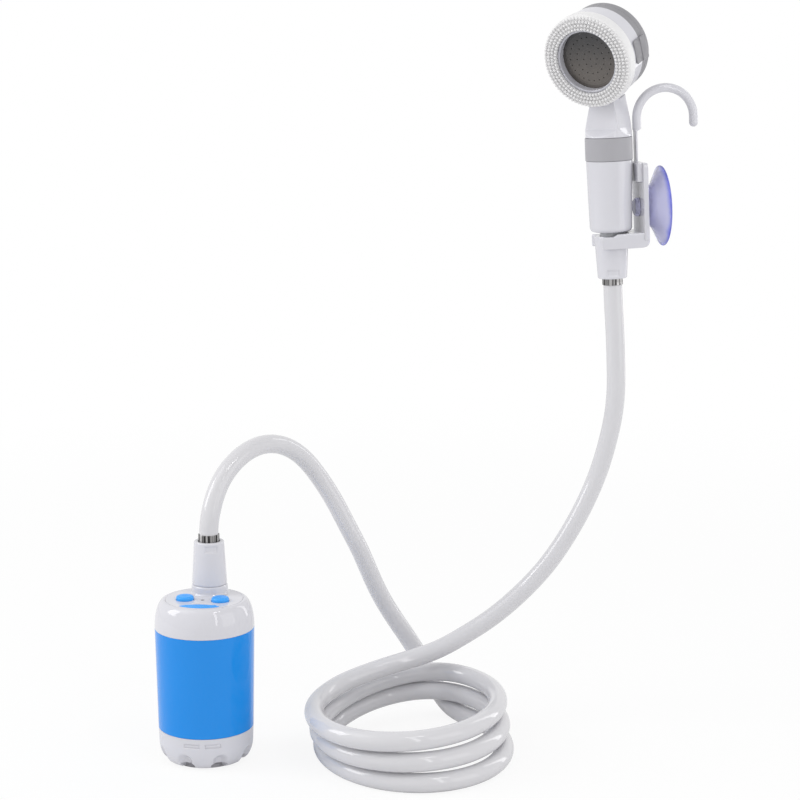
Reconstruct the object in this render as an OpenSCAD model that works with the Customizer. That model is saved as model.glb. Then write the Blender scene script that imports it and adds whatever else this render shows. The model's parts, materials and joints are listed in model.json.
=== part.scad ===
/* [Pump casing] */
// Radius of the casing at the sleeve's upper edge
casing_r = 36; // [35.5:0.5:42]
// Radius of the casing at the sleeve's lower edge
foot_r = 34.6; // [34:0.2:36]
// Height of the casing up to its control panel
casing_h = 120; // [116:1:135]
// Height of the sleeve's lower edge
sleeve_bottom = 25; // [24:0.5:28]
// Height of the sleeve's upper edge
sleeve_top = 99; // [94:0.5:102]
// Wall of the sleeve
sleeve_wall = 1.8; // [1.4:0.1:2.2]
// Length of the skirts that reach into the sleeve
skirt_l = 6; // [4.5:0.5:8]
// Wall of the skirts
skirt_wall = 2; // [1.9:0.1:2.4]
// Radius of the round panel on top
panel_r = 28; // [27:0.25:29]
// Thickness of the panel
panel_t = 3.4; // [3:0.1:4]
// Turn of the pump about its axis
pump_turn = -8; // [-30:1:30]

/* [Pump base] */
// Radius of the base shell where it ends below
base_r = 26.5; // [26:0.25:28]
// Wall of the base shell
base_wall = 2.2; // [1.8:0.1:2.6]
// Height of the base shell's lowest edge
base_lift = 1.2; // [0.6:0.2:2]
// Height where the base shell's round flank ends
flank_h = 16; // [14:0.5:17]
// Radius of the base plate
plate_r = 24; // [23.5:0.25:24.2]
// Thickness of the base plate
plate_t = 3; // [2.6:0.2:3.6]
// Number of inlet notches
notch_count = 8; // [6:1:9]
// Radius of a notch's arch
notch_r = 5.8; // [5:0.2:6.4]
// Height of a notch's arch centre
notch_h = 7.5; // [6.5:0.25:8.5]
// Radius of the ring of screws
screw_ring_r = 20; // [19.6:0.1:20.4]
// Radius of a screw's shank
screw_r = 1.2; // [1:0.1:1.4]

/* [Outlet and controls] */
// Distance of the outlet behind the casing's axis
outlet_back = 18; // [17.5:0.25:19]
// Radius of the outlet's collar
collar_r = 13.2; // [12.8:0.2:14]
// Height of the outlet's collar
collar_h = 6; // [4:0.5:7]
// Radius of a button
button_r = 6.4; // [5.8:0.1:7]
// Height of a button above the panel
button_rise = 3; // [2:0.25:4]
// Distance of a button from the middle line
button_side = 13; // [12:0.25:14]
// Distance of the buttons in front of the axis
button_front = 4.8; // [4:0.2:6]
// Travel of a button
button_travel = 1.2; // [0.8:0.1:1.6]
// Radius of the light guide
guide_r = 1.3; // [1:0.1:1.6]
// Radius of the port cover's front edge about the axis
cover_front_r = 25.8; // [25.4:0.1:26.2]
// Distance of the port cover's hinge in front of the axis
cover_back = 17; // [16:0.25:17.5]
// Radius of the port cover's back edge
cover_back_r = 26.4; // [24:0.2:28]
// Turn of the port cover about the casing's axis, from the middle line
cover_turn = 4; // [0:1:8]
// Thickness of the port cover
cover_t = 1.6; // [1.2:0.1:1.8]
// Length of the bead at the port cover's hinge
bead_l = 5; // [4:0.5:6]
// Radius of the bead at the port cover's hinge
bead_r = 0.5; // [0.4:0.05:0.6]

/* [Pump works] */
// Radius of the motor can
motor_r = 11.5; // [10.5:0.25:11.8]
// Length of the motor can
motor_l = 30; // [26:1:36]
// Radius of the motor shaft
shaft_r = 1.15; // [1:0.05:1.3]
// Radius of the impeller
impeller_r = 12; // [11:0.25:12.6]
// Height of the impeller with its vanes
impeller_h = 6; // [5:0.5:7]
// Number of impeller vanes
vane_count = 6; // [5:1:8]
// Radius of the pump chamber
chamber_r = 13.5; // [13:0.25:13.8]
// Wall of the pump chamber
chamber_wall = 2; // [1.6:0.1:2.2]
// Outer radius of the outlet pipe
pipe_r = 4.2; // [3.9:0.1:4.4]
// Radius of the water's way
water_r = 3; // [2.6:0.1:3.2]
// Radius of a battery cell
cell_r = 8.2; // [7.6:0.1:8.4]
// Length of a battery cell
cell_l = 60; // [50:1:64]
// Distance of the cells from the axis
cell_ring_r = 20.5; // [20.3:0.1:21]

/* [Hose] */
// Radius of the hose
hose_r = 7; // [6.5:0.1:7]
// Number of sides of the hose's free stretches
hose_sides = 10; // [8:1:12]
// Middle of the coil, to the right of the pump
coil_x = 152; // [146:1:160]
// Middle of the coil, behind the pump
coil_y = 10; // [4:1:20]
// Half width of the coil at the middle of the hose
coil_w = 66; // [64:1:70]
// Half depth of the coil at the middle of the hose
coil_d = 82; // [78:1:84]
// Step from one turn of the coil to the next
coil_step = 15; // [15:0.1:16]
// Turns of the coil
coil_turns = 2.625; // [2.625]
// Shift of the coil's middle from turn to turn
coil_drift = 2.3; // [2:0.1:2.6]
// Slant of the coil that each turn adds
coil_slant = 7; // [6:0.5:8]

/* [Hose fittings] */
// Height of a hose nut
nut_h = 32; // [28:0.5:34]
// Radius of a hose nut at its wide end
nut_wide_r = 12.7; // [12:0.1:13]
// Radius of a hose nut at its narrow end
nut_narrow_r = 10.9; // [10.5:0.1:11.5]
// Outer radius of the pipe thread
thread_r = 8.4; // [8:0.1:9]
// Length of thread inside a nut
thread_l = 13.5; // [11:0.5:15]
// Thickness of the sealing washer
washer_t = 2; // [1.5:0.25:3]
// Length of the ferrule
ferrule_l = 8.5; // [8:0.5:12]
// Wall of the ferrule
ferrule_wall = 0.6; // [0.4:0.1:0.7]

/* [Handset] */
// Turn of the handset about the hose
handset_turn = -34; // [-50:1:-20]
// Radius of the handle at its upper end
handle_r = 17.3; // [16.5:0.1:17.5]
// Radius of the handle at its lower end
handle_foot_r = 15.6; // [15:0.1:16.4]
// Length of the handle shell
handle_l = 53; // [48:1:60]
// Wall of the handle
handle_wall = 2.4; // [2:0.1:3]
// Height of the grey band
band_h = 17; // [12:1:20]
// Radius of the grey band
band_r = 17.6; // [17.4:0.1:17.9]
// Height of the head's axis above the band
head_rise = 65.5; // [64:0.5:72]
// Tilt of the head below level
head_tilt = 17; // [10:1:20]
// Radius of the head's housing
head_r = 33.6; // [33:0.2:36]
// Wall of the head's housing
head_wall = 2.4; // [2:0.1:3]
// Distance from the head's back to the brush ring
head_l = 22; // [20:0.5:26]
// Width of the selector ring along the head's axis
selector_w = 5.7; // [5:0.1:6.2]
// Wall of the selector ring
selector_wall = 5; // [4:0.25:6]
// Outer radius of the brush ring
brush_r = 35; // [34:0.25:37]
// Radius of the brush ring's hole
brush_hole_r = 24.2; // [23.8:0.1:25]
// Thickness of the brush ring without its nubs
brush_t = 9.5; // [8:0.5:12]
// Height of a nub
nub_h = 2.6; // [1.5:0.1:3.5]
// Number of rows of nubs
nub_rows = 4; // [4:1:5]
// Number of nubs in a row
nub_count = 68; // [60:2:76]
// Wall of the clear bezel
bezel_wall = 1.8; // [1.4:0.1:2.2]
// Thickness of the spray plate
spray_t = 1.5; // [1:0.1:2]

/* [Holder] */
// Height of the holder's fork
fork_h = 11; // [9:0.5:13]
// Wall of the fork
fork_wall = 3.6; // [3:0.1:4.2]
// Width of the fork's mouth
mouth_w = 22.5; // [22:0.25:23]
// Distance of the back plate from the hose's axis
back_x = 21.6; // [21.5:0.1:24]
// Thickness of the back plate
back_t = 3.6; // [3.2:0.1:5]
// Width of the back plate
back_w = 32; // [29:0.5:33]
// Height of the back plate above the fork's foot
back_h = 62.5; // [60:0.5:72]
// Height of the clip that holds the hook
clip_h = 14; // [12:0.5:16]
// Thickness of the hook's flat stem
stem_t = 1.8; // [1.6:0.1:1.9]
// Width of the hook's flat stem
stem_w = 8; // [7:0.25:9]
// Length of the hook's flat stem
stem_l = 46; // [42:0.5:50]
// Length of the stem that stands below the clip
stem_tail = 5; // [4:0.5:6]
// Radius of the hook's rod
rod_r = 3.3; // [3:0.1:3.6]
// Radius of the hook's bend at the middle of the rod
hook_bend_r = 21.7; // [19:0.1:26]
// Length of the straight rod below the bend
rod_l = 5; // [4:0.5:12]
// Length of the straight tip
hook_tip_l = 5; // [3:0.5:12]
// Radius of the suction cup
cup_r = 30; // [26:0.5:34]
// Depth of the suction cup
cup_depth = 14; // [12:0.5:16]
// Height of the suction cup above the fork's foot
cup_rise = 29; // [28:0.5:29.5]
// Radius of the suction cup's stud
stud_r = 4; // [3.5:0.1:4.5]
// Radius of the suction cup's knob
knob_r = 7; // [6:0.1:7.5]

/* [Clearances] */
// Gap between pieces that are pushed together
fit = 0.2; // [0.15:0.05:0.3]
// Gap between pieces that move past each other
slip = 0.3; // [0.25:0.05:0.4]
// Gap round a shaft that runs in a bore
run = 0.05; // [0.03:0.01:0.08]

/* [Hidden] */
$fn = 64;

over = 1;
bulk_t = 3;
bulk_z = sleeve_bottom - bulk_t;
bulk_r = foot_r - sleeve_wall - fit - skirt_wall - fit;
ledge_w = 2.7;
ledge_t = 2;
seal_r = 0.7;
tray_t = 4;
clip_t = 2;
tray_floor = 1;
cell_angles = [-30, 210];
post_angles = [-90, 30, 150];
post_r = 3;
screw_head_r = 2.4;
screw_head_h = 1.8;
screw_l = 12;
chamber_floor = 2.5;
chamber_z = bulk_z - impeller_h - 2 * slip - 4 - chamber_floor;
impeller_z = chamber_z + chamber_floor + 1.5;
impeller_disc_t = 1.5;
hub_r = 3.5;
seal_h = 2;
shaft_seal_r = 4.5;
can_wall = 1;
cap_t = 3;
motor_z = sleeve_bottom;
cap_z = motor_z + motor_l;
tray_z = sleeve_bottom;
cell_z = tray_z + tray_floor;
clip_z = cell_z + cell_l;
board_t = 1.6;
board_r = 23.5;
shelf_w = 1;
shelf_t = 2.2;
panel_z = casing_h - panel_t;
panel_ledge_w = 4;
panel_ledge_t = 2.2;
button_flange = 0.9;
button_flange_t = 1.6;
button_z = panel_z - slip - button_flange_t;
switch_h = 3;
plunger_r = 1.6;
plunger_h = 2;
plunger_gap = 0.3;
board_top = button_z - button_travel - plunger_gap - plunger_h - switch_h;
board_z = board_top - board_t;
socket = [9, 6, 7];
socket_y = 0.5 - cover_back - socket[1];
spigot_r = 6.5;
spigot_z = panel_z - 4;
nut_gap = 0.5;
tail_flange_t = 3;
tail_step = 4;
hose_seat = nut_h + nut_gap;
fitting_z = casing_h + collar_h + nut_gap;
outlet_x = -outlet_back * sin(pump_turn);
outlet_y = outlet_back * cos(pump_turn);

handset_x = 301;
handset_y = 100;
handset_lean = 2.7;
holder_turn = 8;
hose_end_z = 340;
fitting_top = hose_end_z + hose_seat;
handle_z = fitting_top + 3;
band_z = handle_z + handle_l;
neck_z = band_z + band_h;
head_z = neck_z + head_rise;
stub_flange_r = 12;
stub_flange_t = 3;
hub_bore_r = 4;
selector_r = head_r - 0.6;
hub_ring_r = selector_r - selector_wall;
back_cap_t = 8;
hub_front = 1 + selector_w + 2 * slip;
face_z = head_l + 1.5;
tab_l = 18.5;
tab_w = 17.5;
tab_rise = 2.2;
fork_z = fitting_top - fork_h + 2;
clip_wall = 1.5;
clip_x = back_x - stem_t - 2 * slip - clip_wall;
clip_z0 = fork_z + back_h - clip_h;
stem_x = back_x - slip - stem_t;
stem_z = clip_z0 - stem_tail;
rod_x = stem_x + rod_r - 1.1;
rod_z = stem_z + stem_l;
cup_z = fork_z + cup_rise;

hose_straight = 7;
hose_arch_points = [[4, 19.5, 178.5], [10.5, 28, 199], [22, 42, 213.5], [36, 58.5, 220], [51.5, 76, 217.5],
    [66.5, 90.5, 206], [79.5, 99.5, 188], [91, 102.5, 168.5], [101, 103.5, 148.5], [110.5, 106.5, 128.5],
    [118.5, 111.5, 108], [126.5, 118.5, 88.5], [137, 125.5, 68.5], [151, 127, 46.5], [161.5, 120.5, 30],
    [170.5, 108, 16.5], [181, 88.5, 8.4]];
hose_rise_points = [[86.3, 30.3, 38], [98.3, 47.7, 40.5], [114.4, 60.6, 43.5], [133, 70.5, 47], [153, 77.5, 51],
    [172.5, 82.5, 57], [191, 87.5, 66], [209, 92, 76.5], [225.5, 95, 89], [241, 97, 103.5], [255, 98.5, 119.5],
    [267, 99.5, 137], [277.5, 100, 155.5], [286.5, 100.5, 174.5], [294, 100.5, 194.5], [299.5, 100, 215],
    [303.5, 99.5, 236], [305, 99, 257], [304.5, 99.5, 278.5], [303.5, 100, 299.5], [302, 100, 321],
    [handset_x, handset_y, hose_end_z]];
hose_end_heading = [-sin(handset_lean), 0, cos(handset_lean)];

// Points of an elliptic arc about a centre
function arc_points(centre, radii, start, end, steps) =
    [for (i = [0 : steps]) let (a = start + (end - start) * i / steps)
        [centre[0] + radii[0] * cos(a), centre[1] + radii[1] * sin(a)]];

// Radius of the tapered sleeve at a height
function sleeve_at(z) = foot_r + (casing_r - foot_r) * (z - sleeve_bottom) / (sleeve_top - sleeve_bottom);

// Inner radius of the sleeve at a height
function bore_at(z) = sleeve_at(z) - sleeve_wall;

// Unit vector
function unit(v) = v / norm(v);

// Directions along a route, with its end directions given
function headings(points, first, last) =
    [for (i = [0 : len(points) - 1])
        i == 0 ? first : i == len(points) - 1 ? last : unit(points[i + 1] - points[i - 1])];

// Side vectors carried along a route without twist
function sides(heads, side, i = 0, done = []) =
    i == len(heads) ? done
    : let (s = unit(side - (side * heads[i]) * heads[i])) sides(heads, s, i + 1, concat(done, [s]));

// Corners of a round section at each point of a route
function tube_corners(points, heads, side, radius, count) =
    let (s = sides(heads, side))
    [for (i = [0 : len(points) - 1]) let (up = cross(heads[i], s[i]))
        for (k = [0 : count - 1]) let (a = 360 * k / count)
            points[i] + radius * (cos(a) * s[i] + sin(a) * up)];

// Triangles of a closed tube
function tube_faces(rings, count) = concat(
    [for (k = [1 : count - 2]) [0, k, k + 1]],
    [for (i = [0 : rings - 2], k = [0 : count - 1]) let (a = i * count + k, b = i * count + (k + 1) % count)
        each [[a, a + count, b], [b, a + count, b + count]]],
    [for (k = [1 : count - 2]) let (e = (rings - 1) * count) [e, e + k + 1, e + k]]);

// Share of a climb from one turn of the coil to the next
climb_start = 0.65;
climb_length = 0.31;
function climb(part) =
    let (s = min(1, max(0, (part - climb_start) / climb_length))) s * s * (3 - 2 * s);

// Middle of the hose in the coil, counted in turns from its landing
coil_first_angle = 45;
function coil_angle(turn) = coil_first_angle - 360 * turn;
function coil_skew(turn) = coil_slant * (turn - 0.9);
function coil_point(turn) = [
    coil_x - coil_drift * turn + coil_w * cos(coil_angle(turn)) + coil_skew(turn) * sin(coil_angle(turn)),
    coil_y + coil_d * sin(coil_angle(turn)),
    hose_r + coil_step * (floor(turn) + climb(turn - floor(turn)))];
function coil_heading(turn) = unit([
    (coil_w + coil_slant / (2 * PI)) * sin(coil_angle(turn)) - coil_skew(turn) * cos(coil_angle(turn))
        - coil_drift / (2 * PI),
    -coil_d * cos(coil_angle(turn)), 0]);
loop_rings = 24;
coil_sides = 6;
coil_rings = round(coil_turns * loop_rings);
coil_points = [for (i = [0 : coil_rings]) coil_point(i / loop_rings)];
coil_gap = min([for (i = [0 : coil_rings], j = [0 : coil_rings])
    if (j - i > loop_rings / 2) norm(coil_points[j] - coil_points[i]) - 2 * hose_r]);
echo(coil_least_gap = coil_gap);

module pump_frame() {
    rotate([0, 0, pump_turn]) children();
}

module at_pump_fitting() {
    translate([outlet_x, outlet_y, fitting_z]) children();
}

// Frame of the handset's end of the hose, which leans a little
module hose_end_frame() {
    translate([handset_x, handset_y, hose_end_z]) rotate([0, -handset_lean, 0])
        translate([0, 0, -hose_end_z]) children();
}

module handset_frame() {
    hose_end_frame() rotate([0, 0, handset_turn]) children();
}

module head_frame() {
    handset_frame() translate([0, 0, head_z]) rotate([90 + head_tilt, 0, 0]) children();
}

module at_handset_fitting() {
    hose_end_frame() translate([0, 0, fitting_top]) mirror([0, 0, 1]) children();
}

module holder_frame() {
    hose_end_frame() rotate([0, 0, holder_turn]) children();
}

module ring(outer_r, inner_r, height) {
    difference() {
        cylinder(r = outer_r, h = height);
        translate([0, 0, -over]) cylinder(r = inner_r, h = height + 2 * over);
    }
}

module at_angles(angles, radius) {
    for (a = angles) rotate([0, 0, a]) translate([radius, 0, 0]) children();
}

module block(size, centre) {
    translate(centre - size / 2) cube(size);
}

// Grey plate on which the pump stands, with inlet holes
module base_plate() color("silver") pump_frame() {
    hole_rings = [[8, 8.5], [16, 14.5]];
    difference() {
        cylinder(r = plate_r, h = plate_t);
        for (ring_of = hole_rings) {
            at_angles([for (i = [0 : ring_of[0] - 1]) (i + 0.5) * 360 / ring_of[0]], ring_of[1])
                translate([0, 0, -over]) cylinder(r = 1.4, h = plate_t + 2 * over);
        }
        at_angles(post_angles, screw_ring_r) {
            translate([0, 0, -over]) cylinder(r = screw_r + fit, h = plate_t + 2 * over);
            translate([0, 0, -over]) cylinder(r = screw_head_r + fit, h = screw_head_h + fit + over);
        }
    }
}

// White lower shell with arched inlet notches and latch windows
module base_shell() color("white") {
    flank_w = foot_r - 0.4 - base_r;
    outer = concat([[0, base_lift]],
        arc_points([base_r, flank_h], [flank_w, flank_h - base_lift], -90, 0, 12),
        [[foot_r, sleeve_bottom], [0, sleeve_bottom]]);
    inner = concat([[0, base_lift - over], [base_r - base_wall, base_lift - over]],
        arc_points([base_r - base_wall, flank_h], [flank_w, flank_h - base_lift], -90, 0, 12),
        [[base_r - base_wall + flank_w, bulk_z - ledge_t], [0, bulk_z - ledge_t]]);
    window = [11.6, 1.6, 3];
    difference() {
        union() {
            rotate_extrude() polygon(outer);
            translate([0, 0, sleeve_bottom])
                cylinder(r1 = bore_at(sleeve_bottom) - fit, r2 = bore_at(sleeve_bottom + skirt_l) - fit,
                    h = skirt_l);
        }
        rotate_extrude() polygon(inner);
        cylinder(r = bulk_r + fit - ledge_w, h = sleeve_bottom + skirt_l);
        translate([0, 0, bulk_z]) cylinder(r = bulk_r + fit, h = bulk_t + skirt_l + over);
        for (i = [0 : notch_count - 1]) rotate([0, 0, (i + 0.5) * 360 / notch_count]) {
            translate([base_r - base_wall - 2, 0, notch_h]) rotate([0, 90, 0]) cylinder(r = notch_r, h = 20);
            block([20, 2 * notch_r, notch_h], [base_r - base_wall + 8, 0, notch_h / 2]);
        }
        for (side = [-1, 1], turn = [0, 180]) rotate([0, 0, turn - 90 + side * 13])
            block([window[1], window[0], window[2]], [foot_r - 0.6, 0, bulk_z - 2.5]);
        translate([0, 0, sleeve_bottom + skirt_l / 2]) lower_groove();
    }
}

module lower_groove() {
    groove(bore_at(sleeve_bottom + skirt_l / 2));
}

// Groove for a round seal that touches a bore
module groove(bore_r) {
    translate([0, 0, -seal_r - fit]) ring(bore_r + over, bore_r - 2 * seal_r - fit, 2 * (seal_r + fit));
}

module seal(bore_r) {
    rotate_extrude() translate([bore_r - seal_r - run, 0]) circle(r = seal_r, $fn = 24);
}

module lower_seal() color("dimgray") translate([0, 0, sleeve_bottom + skirt_l / 2])
    seal(bore_at(sleeve_bottom + skirt_l / 2 - seal_r));

module upper_seal() color("dimgray") translate([0, 0, sleeve_top - skirt_l / 2])
    seal(bore_at(sleeve_top - skirt_l / 2 - seal_r));

// Screws that hold the base plate to the bulkhead's posts
module base_screws() color("lightgray") pump_frame() at_angles(post_angles, screw_ring_r) difference() {
    union() {
        translate([0, 0, plate_t - screw_l / 4 + 0.2]) cylinder(r = screw_r, h = screw_l);
        translate([0, 0, 0.2]) cylinder(r = screw_head_r, h = screw_head_h);
    }
    block([3.2, 0.8, 1], [0, 0, 0.2]);
    block([0.8, 3.2, 1], [0, 0, 0.2]);
}

// Plate between the wet base and the dry casing, with posts for the screws
module bulkhead() color("gainsboro") pump_frame() difference() {
    union() {
        translate([0, 0, bulk_z]) cylinder(r = bulk_r, h = bulk_t);
        at_angles(post_angles, screw_ring_r) translate([0, 0, plate_t])
            cylinder(r = post_r, h = bulk_z + bulk_t / 2 - plate_t);
    }
    translate([0, 0, bulk_z - over]) cylinder(r = shaft_r + 2 * slip, h = bulk_t + 2 * over);
    translate([0, 0, bulk_z - over]) cylinder(r = shaft_seal_r + run, h = seal_h + over);
    translate([0, outlet_back, bulk_z - over]) cylinder(r = pipe_r + fit, h = bulk_t + 2 * over);
    at_angles(post_angles, screw_ring_r)
        translate([0, 0, plate_t - over]) cylinder(r = screw_r + run, h = screw_l + over);
}

// Round chamber under the bulkhead, with a side well for the outlet pipe
module volute_housing() color("lightgray") pump_frame() translate([0, 0, chamber_z]) {
    height = bulk_z - chamber_z;
    well_r = pipe_r + fit + chamber_wall - 0.6;
    difference() {
        union() {
            cylinder(r = chamber_r + chamber_wall, h = height);
            translate([0, outlet_back, 0]) cylinder(r = well_r, h = height);
        }
        translate([0, 0, chamber_floor]) cylinder(r = chamber_r, h = height);
        translate([0, outlet_back, chamber_floor]) cylinder(r = pipe_r + fit, h = height);
        translate([0, 0, -over]) cylinder(r = 6.5, h = chamber_floor + 2 * over);
    }
}

// Impeller with straight vanes
module impeller() color("dimgray") pump_frame() translate([0, 0, impeller_z]) difference() {
    union() {
        cylinder(r = impeller_r, h = impeller_disc_t);
        cylinder(r = hub_r, h = impeller_h);
        for (i = [0 : vane_count - 1]) rotate([0, 0, i * 360 / vane_count])
            translate([hub_r - 0.5, -0.6, 0]) cube([impeller_r - hub_r, 1.2, impeller_h]);
    }
    translate([0, 0, -over]) cylinder(r = shaft_r + 0.02, h = impeller_h + 2 * over);
}

module motor_shaft() color("gainsboro") pump_frame()
    translate([0, 0, impeller_z]) cylinder(r = shaft_r, h = cap_z + 1.5 - impeller_z);

module armature() color("peru") pump_frame() translate([0, 0, motor_z + 5])
    ring(motor_r - can_wall - 3.6, shaft_r + 0.02, motor_l - 9);

module motor_can() color("silver") pump_frame() translate([0, 0, motor_z]) difference() {
    cylinder(r = motor_r, h = motor_l);
    translate([0, 0, can_wall]) cylinder(r = motor_r - can_wall, h = motor_l);
    translate([0, 0, -over]) cylinder(r = shaft_r + run, h = can_wall + 2 * over);
}

// Two curved magnets inside the can
module motor_magnets() color("dimgray") pump_frame() translate([0, 0, motor_z + 6]) difference() {
    ring(motor_r - can_wall - 0.05, motor_r - can_wall - 2.6, motor_l - 11);
    block([4 * motor_r, 5, 3 * motor_l], [0, 0, 0]);
}

module motor_end_cap() color("black") pump_frame() translate([0, 0, cap_z]) {
    ring(motor_r, shaft_r + run, cap_t - 1);
    for (side = [-1, 1]) translate([side * 5.5 - 1, -0.3, cap_t - 1]) cube([2, 0.6, 2.5]);
}

module shaft_seal() color("dimgray") pump_frame()
    translate([0, 0, bulk_z]) ring(shaft_seal_r, shaft_r + run, seal_h - fit);

// Tray under the battery cells
module battery_tray() color("dimgray") pump_frame() translate([0, 0, tray_z]) difference() {
    cylinder(r = bulk_r - fit, h = tray_t);
    translate([0, 0, -over]) cylinder(r = motor_r + fit, h = tray_t + 2 * over);
    translate([0, outlet_back, -over]) cylinder(r = pipe_r + slip, h = tray_t + 2 * over);
    at_angles(cell_angles, cell_ring_r) translate([0, 0, tray_floor]) cylinder(r = cell_r + fit, h = tray_t);
    translate([-motor_r, -bulk_r - over, -over]) cube([2 * motor_r, bulk_r / 3, tray_t + 2 * over]);
}

module battery_cells() color("seagreen") pump_frame() at_angles(cell_angles, cell_ring_r) {
    translate([0, 0, cell_z]) cylinder(r = cell_r, h = cell_l - 1);
    translate([0, 0, cell_z + cell_l - 1]) cylinder(r = cell_r / 3, h = 1);
}

// Plate that caps the battery cells
module battery_clip() color("dimgray") pump_frame() translate([0, 0, clip_z]) difference() {
    cylinder(r = bulk_r - fit, h = clip_t);
    translate([0, 0, -over]) cylinder(r = motor_r, h = clip_t + 2 * over);
    translate([0, outlet_back, -over]) cylinder(r = pipe_r + slip, h = clip_t + 2 * over);
}

module motor_leads() color("firebrick") pump_frame() for (side = [-1, 1])
    translate([side * 5.5, 1.4, cap_z + cap_t - 0.9]) cylinder(r = 0.8, h = board_z - cap_z - cap_t + 0.9);

module outlet_pipe() color("lightgray") pump_frame()
    translate([0, outlet_back, chamber_z + chamber_floor + 3])
    ring(pipe_r, water_r, spigot_z - chamber_z - chamber_floor - 3);

// Blue sleeve round the middle of the casing
module sleeve() color("dodgerblue") rotate_extrude() polygon([
    [bore_at(sleeve_bottom), sleeve_bottom], [foot_r, sleeve_bottom],
    [casing_r, sleeve_top], [bore_at(sleeve_top), sleeve_top]]);

// White upper shell with a round shoulder and a seat for the panel
module top_shell() color("white") {
    rim = 1;
    lip_z = sleeve_top + 1;
    outer = concat([[0, sleeve_top], [casing_r, sleeve_top]],
        arc_points([panel_r + rim, lip_z], [casing_r - panel_r - rim, casing_h - lip_z], 0, 90, 16),
        [[0, casing_h]]);
    under_ledge = panel_z - panel_ledge_t;
    skirt_z = sleeve_top - skirt_l;
    difference() {
        union() {
            rotate_extrude() polygon(outer);
            translate([0, 0, skirt_z])
                cylinder(r1 = bore_at(skirt_z) - fit, r2 = bore_at(sleeve_top) - fit, h = skirt_l);
        }
        translate([0, 0, panel_z]) cylinder(r = panel_r + fit, h = panel_t + over);
        translate([0, 0, board_z - shelf_t - over])
            cylinder(r = board_r - shelf_w, h = shelf_t + 2 * over);
        translate([0, 0, board_z]) cylinder(r = board_r + fit, h = under_ledge - board_z);
        translate([0, 0, under_ledge - over])
            cylinder(r = panel_r - panel_ledge_w, h = panel_ledge_t + 2 * over);
        translate([0, 0, skirt_z - over])
            cylinder(r = bore_at(skirt_z) - fit - skirt_wall, h = board_z - shelf_t - skirt_z + over);
        translate([0, 0, sleeve_top - skirt_l / 2]) groove(bore_at(sleeve_top - skirt_l / 2));
        translate([outlet_x, outlet_y, spigot_z]) cylinder(r = spigot_r + fit, h = casing_h - spigot_z);
    }
}

module cover_frame() {
    rotate([0, 0, cover_turn]) children();
}

// Outline of the port cover seen from above
module cover_outline(gap) {
    intersection() {
        circle(r = cover_front_r + gap);
        translate([0, -cover_back - cover_back_r]) circle(r = cover_back_r + gap);
    }
}

module control_panel() color("white") pump_frame() difference() {
    translate([0, 0, panel_z]) cylinder(r = panel_r, h = panel_t);
    translate([0, outlet_back, panel_z - over]) cylinder(r = spigot_r + fit, h = panel_t + 2 * over);
    for (side = [-1, 1]) translate([side * button_side, -button_front, panel_z - over])
        cylinder(r = button_r + slip, h = panel_t + 2 * over);
    translate([0, -button_front, panel_z - over]) cylinder(r = guide_r + fit, h = panel_t + 2 * over);
    cover_frame() {
        translate([0, 0, casing_h - cover_t]) linear_extrude(cover_t + over) cover_outline(slip);
        cover_bead(slip);
        block([socket[0] - 2, socket[1] - 3, 3 * panel_t], [0, socket_y + socket[1] / 2, casing_h]);
    }
}

module control_board() color("darkgreen") pump_frame() difference() {
    translate([0, 0, board_z]) cylinder(r = board_r, h = board_t);
    translate([0, outlet_back, board_z - over]) cylinder(r = pipe_r + 2 * slip, h = board_t + 2 * over);
}

module button_switches() color("black") pump_frame() for (side = [-1, 1])
    translate([side * button_side, -button_front, board_top]) {
        translate([-3, -3, 0]) cube([6, 6, switch_h]);
        translate([0, 0, switch_h]) cylinder(r = plunger_r, h = plunger_h);
    }

module light_guide() color("dimgray") pump_frame()
    translate([0, -button_front, board_top]) cylinder(r = guide_r, h = casing_h + 0.1 - board_top);

module charge_socket() color("silver") pump_frame() cover_frame()
    translate([-socket[0] / 2, socket_y, board_top]) difference() {
        cube([socket[0], socket[1], panel_z - board_top]);
        translate([1.5, 2, panel_z - board_top - 5]) cube([socket[0] - 3, socket[1] - 4, 6]);
    }

// Domed button with a flange that keeps it under the panel
module button(side) {
    height = casing_h + button_rise - button_z;
    round_r = 1.8;
    pump_frame() translate([side * button_side, -button_front, button_z]) {
        rotate_extrude() polygon(concat([[0, 0], [button_r + button_flange, 0],
            [button_r + button_flange, button_flange_t], [button_r, button_flange_t]],
            arc_points([button_r - round_r, height - round_r - 0.5], [round_r, round_r], 0, 80, 6),
            [[0, height]]));
    }
}

module power_button() color("dodgerblue") button(-1);

module mode_button() color("dodgerblue") button(1);

// Bead on the line that the port cover lifts about
module cover_bead(gap) {
    translate([-bead_l / 2 - gap, -cover_back, casing_h + slip]) rotate([0, 90, 0])
        cylinder(r = bead_r + gap, h = bead_l + 2 * gap);
}

module port_cover() color("dodgerblue") pump_frame() cover_frame() {
    translate([0, 0, casing_h - cover_t + slip]) linear_extrude(cover_t) cover_outline(0);
    cover_bead(0);
}

// Outlet with its collar, pipe thread and water way
module outlet_spigot() color("white") translate([outlet_x, outlet_y, 0]) {
    waist = collar_r - 1;
    top = fitting_z + thread_l;
    difference() {
        rotate_extrude() polygon([[water_r, spigot_z], [spigot_r, spigot_z], [spigot_r, casing_h],
            [collar_r - 0.4, casing_h], [waist, casing_h + 1.2], [waist, casing_h + collar_h / 2],
            [collar_r, casing_h + collar_h / 2 + 0.8], [collar_r, casing_h + collar_h - 0.4],
            [collar_r - 0.4, casing_h + collar_h], [thread_r, casing_h + collar_h],
            [thread_r, top], [water_r, top]]);
    }
}

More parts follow.
